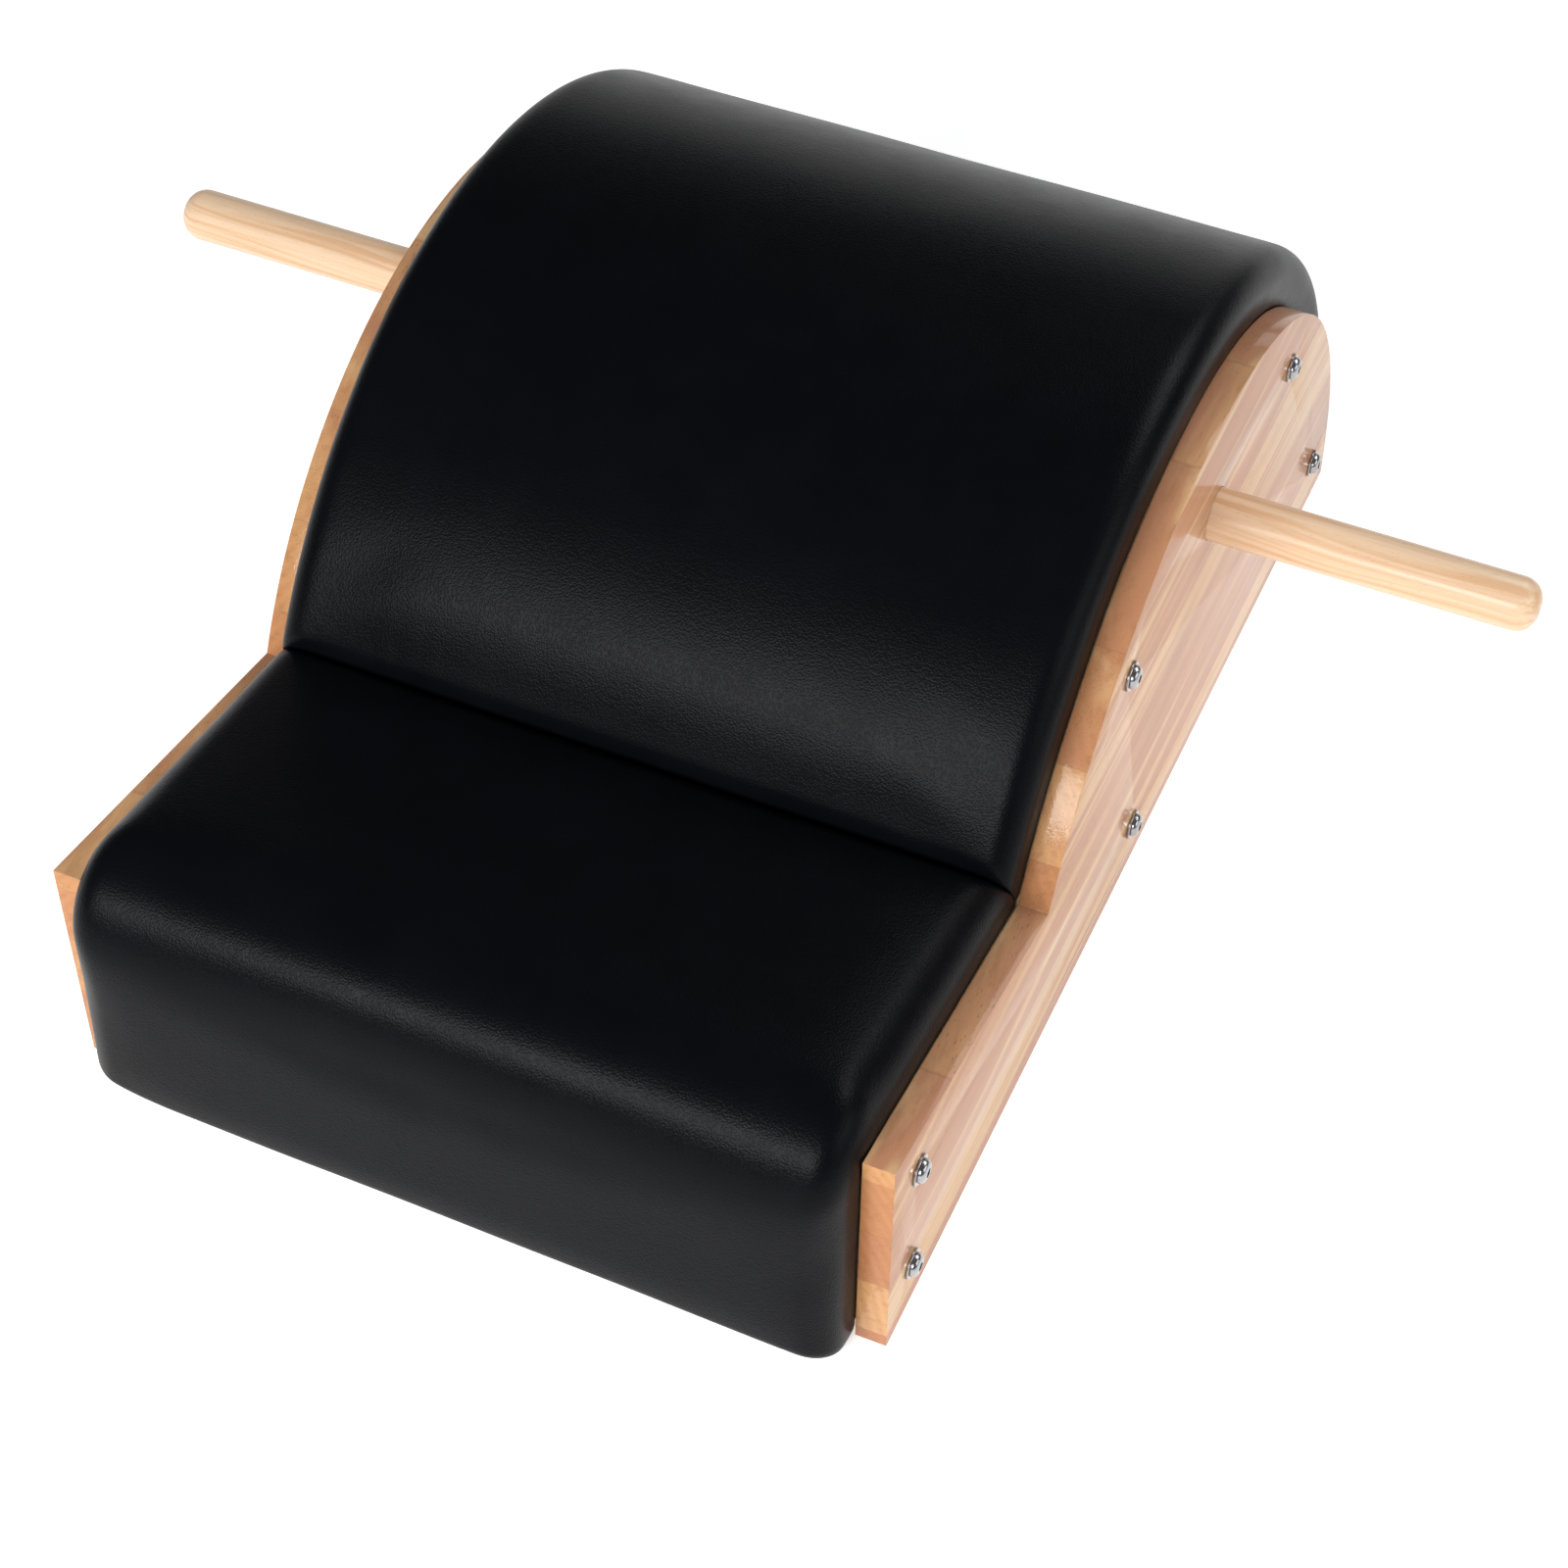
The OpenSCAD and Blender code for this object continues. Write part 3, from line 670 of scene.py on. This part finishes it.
class PadSection:
    """The ring round a pad's section: flat top, round side edges, upright sides and flat base."""
    bends = 7
    walls = 3
    feet = 2
    least_rounding = 3 * MM

    def __init__(self, half, depth, rounding, step):
        self.half, self.depth, self.rounding = half, depth, rounding
        self.flats = round(2 * (half - rounding) / step)

    def ring(self, inset, tuck=0.0):
        """(x, depth below the surface) points, from the left of the top, round and back. The top and base
        are drawn in by inset, and the sides by tuck."""
        half = self.half - tuck
        rounding = max(self.rounding - inset, self.least_rounding)
        floor = self.depth - inset
        flat = half - rounding
        across = [-flat + 2 * flat * i / self.flats for i in range(self.flats + 1)]
        side = [(flat + rounding * math.sin(a), inset + rounding * (1 - math.cos(a)))
                for a in quarter_turn(self.bends)[1:]]
        drop = floor - inset - rounding
        side += [(half, inset + rounding + drop * i / self.walls) for i in range(1, self.walls + 1)]
        side += [(half - rounding * i / (self.feet + 1), floor) for i in range(1, self.feet + 1)]
        top = [(x, inset) for x in across]
        base = [(x, floor) for x in reversed(across)]
        return top + side + base + [(-x, d) for x, d in reversed(side)]

    def cap(self, mesh, row):
        """Closes a pad's end: quads between the top and the base, and one face at each side."""
        count = self.flats + 1
        sides = self.bends + self.walls + self.feet
        top, right = row[:count], row[count:count + sides]
        base, left = row[count + sides:2 * count + sides], row[2 * count + sides:]
        under = list(reversed(base))
        for i in range(self.flats):
            mesh.faces.new((top[i], top[i + 1], under[i + 1], under[i]))
        mesh.faces.new([top[-1]] + right + [base[0]])
        mesh.faces.new([base[-1]] + left + [top[0]])


class BarrelPath:
    """Carries a section from the crease over the arc and down the tail."""

    def __init__(self, proud, hem):
        self.surface = PROFILE.radius + proud
        self.hem = hem

    def ends(self, depth, near, far):
        radius = self.surface - depth
        return PROFILE.crease_angle(radius, near), math.asin((self.hem + far - PROFILE.centre.y) / radius)

    def length(self):
        first, last = self.ends(0, 0, 0)
        return (first - last) * self.surface

    def point(self, depth, share, near, far):
        first, last = self.ends(depth, near, far)
        return PROFILE.arc_point(self.surface - depth, first + (last - first) * share)


class SeatPath:
    """Carries a section from the crease along the seat, over its front edge and down to the hem."""

    def __init__(self, proud, hem, rounding):
        self.hem, self.rounding = hem, rounding
        face = PROFILE.front - proud
        off, top = PROFILE.off_seat, PROFILE.front_top
        middle_y = face + rounding
        middle_z = top.y + (proud - rounding - (middle_y - top.x) * off.x) / off.y
        self.middle = Vector((middle_y, middle_z))
        self.lean = math.atan2(off.y, off.x)
        self.flat = self.crease_reach(0, 0)
        self.bend = (math.pi - self.lean) * rounding
        self.fall = middle_z - hem

    def crease_reach(self, depth, near):
        """How far the top runs behind the front edge's rounding before it meets the crease."""
        start = self.middle + (self.rounding - depth) * PROFILE.off_seat
        behind = PROFILE.into_barrel.dot(start - PROFILE.step) + near
        return -behind / PROFILE.into_barrel.dot(PROFILE.along_seat)

    def length(self):
        return self.flat + self.bend + self.fall

    def point(self, depth, share, near, far):
        run = share * self.length()
        radius = self.rounding - depth
        if run <= self.flat:
            start = self.middle + radius * PROFILE.off_seat
            return start + (1 - run / self.flat) * self.crease_reach(depth, near) * PROFILE.along_seat
        if run <= self.flat + self.bend:
            angle = self.lean + (math.pi - self.lean) * (run - self.flat) / self.bend
            return self.middle + radius * Vector((math.cos(angle), math.sin(angle)))
        share_down = (run - self.flat - self.bend) / self.fall
        return self.middle + Vector((-radius, -share_down * (self.fall - far)))


# steps round each end, shares of the rolling in that its sides follow, the share of the hem's rolling
# in beyond which the cover is held, and how far up the sides it is stapled
END_STEPS = 6
CREASE_TUCK = 0.1
HEM_TUCK = 0.3
HELD_END = 0.7
STAPLED_DEPTH = 13 * MM
STUFFING_FRAMES = 20
EVENING_PASSES = 6


def build_pad(name, path, section, sizes, material):
    """A closed pad swept along its path with both ends rounded over. Gives the pad and its held points."""
    mesh = bmesh.new()
    turns = quarter_turn(END_STEPS)
    crease = [(sizes.crease_round * (1 - math.cos(a)), sizes.crease_round * (1 - math.sin(a))) for a in turns]
    hem = [(sizes.hem_round * (1 - math.cos(a)), sizes.hem_round * (1 - math.sin(a))) for a in turns]
    middle = round(path.length() / sizes.mesh_step)
    stations = [(0, near, 0, inset, inset * CREASE_TUCK) for near, inset in crease]
    stations += [(i / middle, sizes.crease_round, sizes.hem_round, 0, 0) for i in range(1, middle)]
    stations += [(1, 0, far, inset, inset * HEM_TUCK) for far, inset in reversed(hem)]
    rings = []
    held = []
    for share, near, far, inset, tuck in stations:
        ring = []
        for x, depth in section.ring(inset, tuck):
            if inset > HELD_END * sizes.hem_round or depth > section.depth - STAPLED_DEPTH:
                held.append(len(rings) * len(section.ring(0)) + len(ring))
            spot = path.point(depth, share, near, far)
            ring.append(Vector((x, spot.x, spot.y)))
        rings.append(ring)
    rows = join_rings(mesh, rings)
    for row in (rows[0], rows[-1]):
        section.cap(mesh, row)
    return piece(name, mesh, material), held


def stuff(pad, held, sizes):
    """Lets the stuffing push the cover outwards from its stapled edge, and keeps a capped share of it."""
    group = pad.vertex_groups.new(name="Stapled edge")
    group.add(held, 1.0, "REPLACE")
    stuffing = pad.modifiers.new("Stuffing", "CLOTH")
    cover = stuffing.settings
    cover.vertex_group_mass = group.name
    cover.effector_weights.gravity = 0
    cover.quality = 4
    cover.tension_stiffness = 30
    cover.compression_stiffness = 30
    cover.shear_stiffness = 12
    cover.bending_stiffness = 4
    cover.use_pressure = True
    cover.uniform_pressure_force = sizes.pressure
    scene = bpy.context.scene
    for frame_number in range(1, STUFFING_FRAMES + 1):
        scene.frame_set(frame_number)
    shown = pad.evaluated_get(bpy.context.evaluated_depsgraph_get())
    pushed = [v.co.copy() for v in shown.data.vertices]
    pad.modifiers.remove(stuffing)
    scene.frame_set(1)
    pushes = [capped(goal - vert.co, sizes.swell) for vert, goal in zip(pad.data.vertices, pushed)]
    for vert, push in zip(pad.data.vertices, evened(pad.data, pushes, EVENING_PASSES)):
        vert.co += push
    pad.vertex_groups.clear()


def capped(push, limit):
    """The same push, no longer than the limit."""
    reach = push.length
    return push * (limit * math.tanh(reach / limit) / reach) if reach > 0 else push


def evened(mesh, pushes, passes):
    """Averages each point's push with its neighbours', as a stretched cover evens out its stuffing."""
    beside = [[] for _ in mesh.vertices]
    for edge in mesh.edges:
        first, second = edge.vertices
        beside[first].append(second)
        beside[second].append(first)
    for _ in range(passes):
        pushes = [(push + sum((pushes[i] for i in near), Vector())) / (1 + len(near))
                  for push, near in zip(pushes, beside)]
    return pushes


SIDE_GAP = 0.3 * MM


def smooth_cover(pad):
    """Divides the pad's faces once and keeps its sides inside the panels."""
    finer = pad.modifiers.new("Finer", "SUBSURF")
    finer.levels = 1
    finer.render_levels = 1
    settle(pad)
    limit = PROFILE.inside - SIDE_GAP
    for vert in pad.data.vertices:
        vert.co.x = max(-limit, min(limit, vert.co.x))


# lengths and heights of the cover's slow waves and short folds, and the gathers that group the folds
WAVE_LENGTH, WAVE_HEIGHT = 95 * MM, 0.5 * MM
FOLD_WIDTH, FOLD_LENGTH, FOLD_HEIGHT = 10 * MM, 70 * MM, 0.9 * MM
GATHER_WIDTH, GATHER_BIAS = 55 * MM, 0.25


def rumple(pad, seed, folds=None):
    """Moves the cover in and out by fractions of a millimetre: slow waves all over, and short folds
    where folds(point) says, across the width."""
    shift = Vector((seed, 2 * seed, 3 * seed))
    moved = []
    for vert in pad.data.vertices:
        slow = noise.noise(vert.co / WAVE_LENGTH + shift) * WAVE_HEIGHT
        share = folds(vert.co) if folds else 0.0
        if share > 0:
            ridge = noise.noise(Vector((vert.co.x / FOLD_WIDTH, vert.co.z / FOLD_LENGTH, seed)))
            gather = max(0.0, noise.noise(Vector((vert.co.x / GATHER_WIDTH, seed, seed))) + GATHER_BIAS)
            slow += share * gather * ridge * FOLD_HEIGHT
        moved.append(vert.co + vert.normal * slow)
    for vert, place in zip(pad.data.vertices, moved):
        vert.co = place


PROUD = PROFILE.front - SEAT_LOW.y
RECESS = PROFILE.radius - (SHELL_HIGH.z - PROFILE.centre.y)
PAD_DEPTH = PROUD + RECESS - SIDE_GAP
HEM = SEAT_LOW.z


def clamp(share):
    """The share, held between 0 and 1."""
    return max(0.0, min(1.0, share))


def upholster(name, path, section, sizes):
    """The pad's cover, stuffed and smoothed."""
    pad, held = build_pad(name, path, section, sizes, finish("Embossed leather", embossed_leather))
    stuff(pad, held, sizes)
    smooth_cover(pad)
    return pad


class BARREL_OT_seat_pad(bpy.types.Operator):
    """Upholsters the seat from the crease over its front edge down to the hem"""
    bl_idname = "barrel.seat_pad"
    bl_label = "Seat pad"

    def execute(self, context):
        sizes = context.scene.barrel_pad
        start = sizes.seat_inset
        path = SeatPath(PROUD - start, HEM, sizes.front_round - start)
        section = PadSection(PAD_HIGH.x, PAD_DEPTH - start, sizes.seat_side_round, sizes.mesh_step)
        pad = upholster("seat_cushion", path, section, sizes)
        self.draw_up(pad, sizes)
        rumple(pad, sizes.seed)
        shade(pad, 80)
        mount(pad, "synthetic_leather", "seat_cover", "seat_foam")
        return {"FINISHED"}

    @staticmethod
    def draw_up(pad, sizes):
        """Lifts the front hem towards the left and its corner there, and lets the right corner hang."""
        half = PAD_HIGH.x
        reach = 60 * MM
        for vert in pad.data.vertices:
            low = 1 - (vert.co.z - HEM) / reach
            if low > 0 and vert.co.y < PROFILE.front + PAD_DEPTH:
                from_left = max(0.0, vert.co.x + half)
                from_right = 2 * half - from_left
                lift = sizes.hem_lift * (1 - from_left / (2 * half))
                corner = sizes.corner_lift * max(0.0, 1 - from_left / reach) ** 2
                hang = clamp((vert.co.y - SEAT_LOW.y) / PROUD)
                corner -= sizes.corner_drop * hang * max(0.0, 1 - from_right / reach)
                vert.co.z += (lift + corner) * min(1.0, low)


class BARREL_OT_barrel_pad(bpy.types.Operator):
    """Upholsters the barrel from the crease over the arc and down the tail"""
    bl_idname = "barrel.barrel_pad"
    bl_label = "Barrel pad"

    def execute(self, context):
        sizes = context.scene.barrel_pad
        start = sizes.barrel_inset
        path = BarrelPath(PROUD - start, HEM)
        section = PadSection(PAD_HIGH.x, PAD_DEPTH - start, sizes.barrel_side_round, sizes.mesh_step)
        pad = upholster("barrel_cushion", path, section, sizes)
        self.bulge(pad, sizes)
        rumple(pad, sizes.seed + 1, self.near_crease)
        shade(pad, 80)
        mount(pad, "synthetic_leather", "barrel_cover", "barrel_foam")
        return {"FINISHED"}

    @staticmethod
    def bulge(pad, sizes):
        """Raises the crown, and lets the sides bulge over the panels' edges, most at the slack tail."""
        reach = 60 * MM
        front_slack = 0.35
        edge_power = 6
        for vert in pad.data.vertices:
            out = vert.co.yz - PROFILE.centre
            above = out.length - PROFILE.radius
            if above > 0 and vert.co.y > PROFILE.step.x:
                slack = clamp(front_slack + (1 - front_slack) * out.x / out.length)
                share = min(1.0, above / PROUD)
                edge = (abs(vert.co.x) / PAD_HIGH.x) ** edge_power
                vert.co.x += math.copysign(sizes.overhang * slack * edge * math.sqrt(share), vert.co.x)
                behind = min(1.0, (vert.co.y - PROFILE.step.x) / reach)
                vert.co.yz += out.normalized() * sizes.crown * share * behind

    @staticmethod
    def near_crease(place):
        """1 at the crease, fading to 0 behind and above it."""
        reach = 130 * MM
        behind = PROFILE.into_barrel.dot(place.yz - PROFILE.step)
        rise = place.z - PROFILE.step.y
        return max(0.0, 1 - math.hypot(behind, rise) / reach) if place.y < PROFILE.centre.x else 0.0


# ---- Hardware ----

# Random Value's sockets for a plain number: its names repeat for each data type
FLOAT_MAX = 3
FLOAT_VALUE = 1


def place_tree():
    """Puts a template on every point, each turned about its own axis by a seeded amount."""
    tree = bpy.data.node_groups.new("Bolt places", "GeometryNodeTree")
    sockets = {"Places": "Geometry", "Template": "Object", "Facing": "Float", "Largest turn": "Float",
               "Seed": "Int", "Finish": "Material"}
    for label, kind in sockets.items():
        tree.interface.new_socket(label, in_out="INPUT", socket_type="NodeSocket" + kind)
    tree.interface.new_socket("Geometry", in_out="OUTPUT", socket_type="NodeSocketGeometry")
    given = add(tree, "NodeGroupInput").outputs
    shape = add(tree, "GeometryNodeObjectInfo", {"Object": given["Template"]})
    turn = add(tree, "FunctionNodeRandomValue", {FLOAT_MAX: given["Largest turn"], "Seed": given["Seed"]},
               data_type="FLOAT")
    facing = add(tree, "ShaderNodeCombineXYZ", {"X": turn.outputs[FLOAT_VALUE], "Z": given["Facing"]})
    stood = add(tree, "GeometryNodeInstanceOnPoints",
                {"Points": given["Places"], "Instance": shape.outputs["Geometry"],
                 "Rotation": facing.outputs[0]})
    real = add(tree, "GeometryNodeRealizeInstances", {"Geometry": stood.outputs["Instances"]})
    dressed = add(tree, "GeometryNodeSetMaterial",
                  {"Geometry": real.outputs["Geometry"], "Material": given["Finish"]})
    add(tree, "NodeGroupOutput", {"Geometry": dressed.outputs["Geometry"]})
    return tree


def stand_on(name, places, template, hand, largest_turn, seed, material):
    """One plain mesh with the template at every place, made by the node tree."""
    tree = bpy.data.node_groups.get("Bolt places") or place_tree()
    data = bpy.data.meshes.new(name)
    data.from_pydata([tuple(p) for p in places], [], [])
    made = bpy.data.objects.new(name, data)
    bpy.context.scene.collection.objects.link(made)
    nodes = made.modifiers.new("Places", "NODES")
    nodes.node_group = tree
    wanted = {"Template": template, "Facing": 0.0 if hand > 0 else math.pi, "Largest turn": largest_turn,
              "Seed": seed, "Finish": material}
    for socket in tree.interface.items_tree:
        if socket.in_out == "INPUT" and socket.name in wanted:
            nodes[socket.identifier] = wanted[socket.name]
    return settle(made)


def hexagon(across_flats):
    """The radius of a hexagon at an angle, from its width across the flats."""
    return lambda angle: across_flats / 2 / math.cos((angle % (math.pi / 3)) - math.pi / 6)


# the bolt's head: its radius, the upright rim under its dome, the flat round its socket, and how much
# wider the socket's mouth is; then its point below the socket, its shank's taper and every eased edge
HEAD_RADIUS = 7 * MM
HEAD_RIM = 0.5 * MM
SOCKET_RIM = 1.1 * MM
SOCKET_MOUTH = 0.5 * MM
POINT_DEPTH, POINT_RADIUS = 0.5 * MM, 0.3 * MM
SHANK_TAPER = 0.8 * MM
EASED = 0.35 * MM
BOLT_FLATS = 24
WASHER_FLATS = 48
DOME_STEPS = 8
TURN_LIMIT = math.pi / 3


class BARREL_OT_bolts(bpy.types.Operator):
    """Stands the button head bolts and their washers on both panels"""
    bl_idname = "barrel.bolts"
    bl_label = "Bolts and washers"

    def execute(self, context):
        sizes = context.scene.barrel_hardware
        steel = finish("Nickel plated steel", bright_steel)
        bolt = piece("bolt_template", self.bolt(sizes), steel)
        washer = piece("washer_template", self.washer(sizes), steel)
        for template in (bolt, washer):
            shade(template, 35)
        for side, hand in SIDES.items():
            places = [Vector((hand * WASHER_HIGH.x, m.y, m.z)) for m in cad_middles("rail_washers_" + side)]
            bolts = stand_on("bolts_" + side, places, bolt, hand, TURN_LIMIT, sizes.seed + hand, steel)
            mount(bolts, "bolt_chrome", "rail_bolts_" + side)
            for place in places:
                place.x = hand * WASHER_LOW.x
            washers = stand_on("washers_" + side, places, washer, hand, 0.0, sizes.seed, steel)
            mount(washers, "bolt_chrome", "rail_washers_" + side)
        bpy.data.objects.remove(bolt)
        bpy.data.objects.remove(washer)
        return {"FINISHED"}

    @staticmethod
    def bolt(sizes):
        """Shank, rim, dome and hexagon socket, with the washer's outer face at 0."""
        tip = BOLT_LOW.x - WASHER_HIGH.x
        high = BOLT_HIGH.x - WASHER_HIGH.x
        top_radius = sizes.socket / 2 + SOCKET_RIM
        profile = [(tip, sizes.shank - SHANK_TAPER), (tip + SHANK_TAPER, sizes.shank), (0, sizes.shank),
                   (0, HEAD_RADIUS - EASED), (EASED, HEAD_RADIUS)]
        for i in range(DOME_STEPS + 1):
            lift = i / DOME_STEPS
            reach = top_radius + (HEAD_RADIUS - top_radius) * math.sqrt(1 - lift ** 2)
            profile.append((HEAD_RIM + (high - HEAD_RIM) * lift, reach))
        flats = hexagon(sizes.socket)
        floor = high - sizes.socket_depth
        profile += [(high, hexagon(sizes.socket + SOCKET_MOUTH)), (high - SOCKET_MOUTH / 2, flats),
                    (floor, flats), (floor - POINT_DEPTH, POINT_RADIUS)]
        return turned(profile, BOLT_FLATS, Vector((0, 0, 0)))

    @staticmethod
    def washer(sizes):
        """A flat washer, its inner face at 0."""
        thick = WASHER_HIGH.x - WASHER_LOW.x
        radius = WASHER_HIGH.z - max(m.z for m in cad_middles("rail_washers_right"))
        hole = sizes.shank + SHANK_GAP
        ring = [(0, hole), (0, radius - EASED), (EASED, radius), (thick - EASED, radius),
                (thick, radius - EASED), (thick, hole)]
        return turned(ring, WASHER_FLATS, Vector((0, 0, 0)), closed=True)


# ---- Pieces that keep their CAD shape ----

def dress(material, *nodes):
    """Gives CAD nodes their finish."""
    for node in nodes:
        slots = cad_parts[node].data.materials
        slots.clear()
        slots.append(material)


class BARREL_OT_inner_frame(bpy.types.Operator):
    """Finishes the rails, ledgers, blocks and skins inside the barrel"""
    bl_idname = "barrel.inner_frame"
    bl_label = "Inner frame"

    def execute(self, context):
        dress(finish("Planed softwood", planed_softwood), "front_upper_rail", "front_lower_rail",
              "middle_rail", "barrel_front_rail", "barrel_rear_rail", "tail_rail", "step_batten",
              "barrel_ledger_left", "barrel_ledger_right", "deck_ledger_left", "deck_ledger_right",
              "handle_block_left", "handle_block_right")
        dress(finish("Birch plywood", birch_plywood), "barrel_shell", "seat_deck", "front_board")
        return {"FINISHED"}


class BARREL_OT_fittings(bpy.types.Operator):
    """Finishes the inserts, the hidden screws and the foot discs"""
    bl_idname = "barrel.fittings"
    bl_label = "Fittings"

    def execute(self, context):
        dress(finish("Turned brass", turned_brass), "rail_inserts_left", "rail_inserts_right")
        dress(finish("Zinc plated screws", zinc_plate), "handle_screw_left", "handle_screw_right",
              "barrel_screws", "seat_screws")
        dress(finish("Moulded rubber", moulded_rubber), "feet_left", "feet_right")
        return {"FINISHED"}


# ---- Stage ----

class BARREL_OT_stage(bpy.types.Operator):
    """Sets out the floor, the soft lights and the camera"""
    bl_idname = "barrel.stage"
    bl_label = "Stage"

    def execute(self, context):
        settings = context.scene.barrel_stage
        self.lay_floor(settings)
        self.hang_lights()
        self.stand_camera(settings)
        context.scene.view_settings.view_transform = "Standard"
        return {"FINISHED"}

    @staticmethod
    def lay_floor(settings):
        mesh = bmesh.new()
        bmesh.ops.create_grid(mesh, x_segments=1, y_segments=1, size=settings.floor_size / 2)
        floor = piece("floor", mesh, finish("Matt white paint", pale_paint))

    @staticmethod
    def hang_lights():
        """Softboxes: (name, direction from the object, distance, width, height, power)."""
        target = Vector((0, 0, 0.15))
        boxes = (
            ("key", (-0.09, -0.84, 0.44), 2.6, 2.0, 0.6, 64),
            ("low_key", (-0.20, -0.92, 0.36), 2.8, 1.8, 0.3, 7),
            ("right", (0.90, -0.05, 0.42), 2.8, 2.0, 1.4, 19),
            ("back", (0.45, 0.75, 0.95), 3.0, 1.8, 1.2, 36),
            ("horizon", (-0.27, 0.96, 0.14), 3.2, 3.0, 0.5, 6),
        )
        for name, direction, distance, width, height, power in boxes:
            light = bpy.data.lights.new(name, "AREA")
            light.shape = "RECTANGLE"
            light.size = width
            light.size_y = height
            light.energy = power
            lamp = bpy.data.objects.new(name, light)
            aim = Vector(direction).normalized()
            lamp.location = target + aim * distance
            lamp.rotation_euler = aim.to_track_quat("Z", "Y").to_euler()
            bpy.context.scene.collection.objects.link(lamp)
        world = bpy.data.worlds.new("Studio")
        world.use_nodes = True
        background = world.node_tree.nodes["Background"]
        background.inputs["Color"].default_value = linear("#F4F6FA")
        background.inputs["Strength"].default_value = 0.1
        bpy.context.scene.world = world

    @staticmethod
    def stand_camera(settings):
        side, up = math.sin(settings.azimuth), math.cos(settings.azimuth)
        level = math.cos(settings.elevation)
        back = Vector((side * level, -up * level, math.sin(settings.elevation)))
        right = Vector((0, 0, 1)).cross(back).normalized()
        above = back.cross(right)
        turned_right = right * math.cos(settings.roll) + above * math.sin(settings.roll)
        turned_up = above * math.cos(settings.roll) - right * math.sin(settings.roll)
        lens = bpy.data.cameras.new("Camera")
        lens.sensor_width = 36
        lens.lens = settings.lens / MM
        lens.clip_end = 50
        camera = bpy.data.objects.new("Camera", lens)
        axes = Matrix((turned_right, turned_up, back)).transposed().to_4x4()
        camera.matrix_world = Matrix.Translation(Vector(settings.camera_place)) @ axes
        bpy.context.scene.collection.objects.link(camera)
        bpy.context.scene.camera = camera


# ---- Add-on ----

GROUPS = {
    "barrel_panel": PanelSizes,
    "barrel_handle": HandleSizes,
    "barrel_pad": PadSizes,
    "barrel_hardware": HardwareSizes,
    "barrel_finish": FinishColours,
    "barrel_stage": StageSettings,
}
MAKERS = (BARREL_OT_side_panels, BARREL_OT_handles, BARREL_OT_seat_pad, BARREL_OT_barrel_pad, BARREL_OT_bolts,
          BARREL_OT_inner_frame, BARREL_OT_fittings, BARREL_OT_stage)


class BARREL_PT_sidebar(bpy.types.Panel):
    """Lists the makers and their sizes in the sidebar"""
    bl_label = "Spine corrector barrel"
    bl_idname = "BARREL_PT_sidebar"
    bl_space_type = "VIEW_3D"
    bl_region_type = "UI"
    bl_category = "Barrel"

    def draw(self, context):
        for maker in MAKERS:
            self.layout.operator(maker.bl_idname)
        for name, group in GROUPS.items():
            box = self.layout.box()
            for size in group.__annotations__:
                box.prop(getattr(context.scene, name), size)


def register():
    for kind in (*GROUPS.values(), *MAKERS, BARREL_PT_sidebar):
        bpy.utils.register_class(kind)
    for name, group in GROUPS.items():
        setattr(bpy.types.Scene, name, PointerProperty(type=group))


def unregister():
    for name in GROUPS:
        delattr(bpy.types.Scene, name)
    for kind in reversed((*GROUPS.values(), *MAKERS, BARREL_PT_sidebar)):
        bpy.utils.unregister_class(kind)


def main():
    """Makes every piece in order."""
    register()
    makers = bpy.ops.barrel
    makers.side_panels()
    makers.handles()
    makers.seat_pad()
    makers.barrel_pad()
    makers.bolts()
    makers.inner_frame()
    makers.fittings()
    makers.stage()


if __name__ == "__main__":
    main()
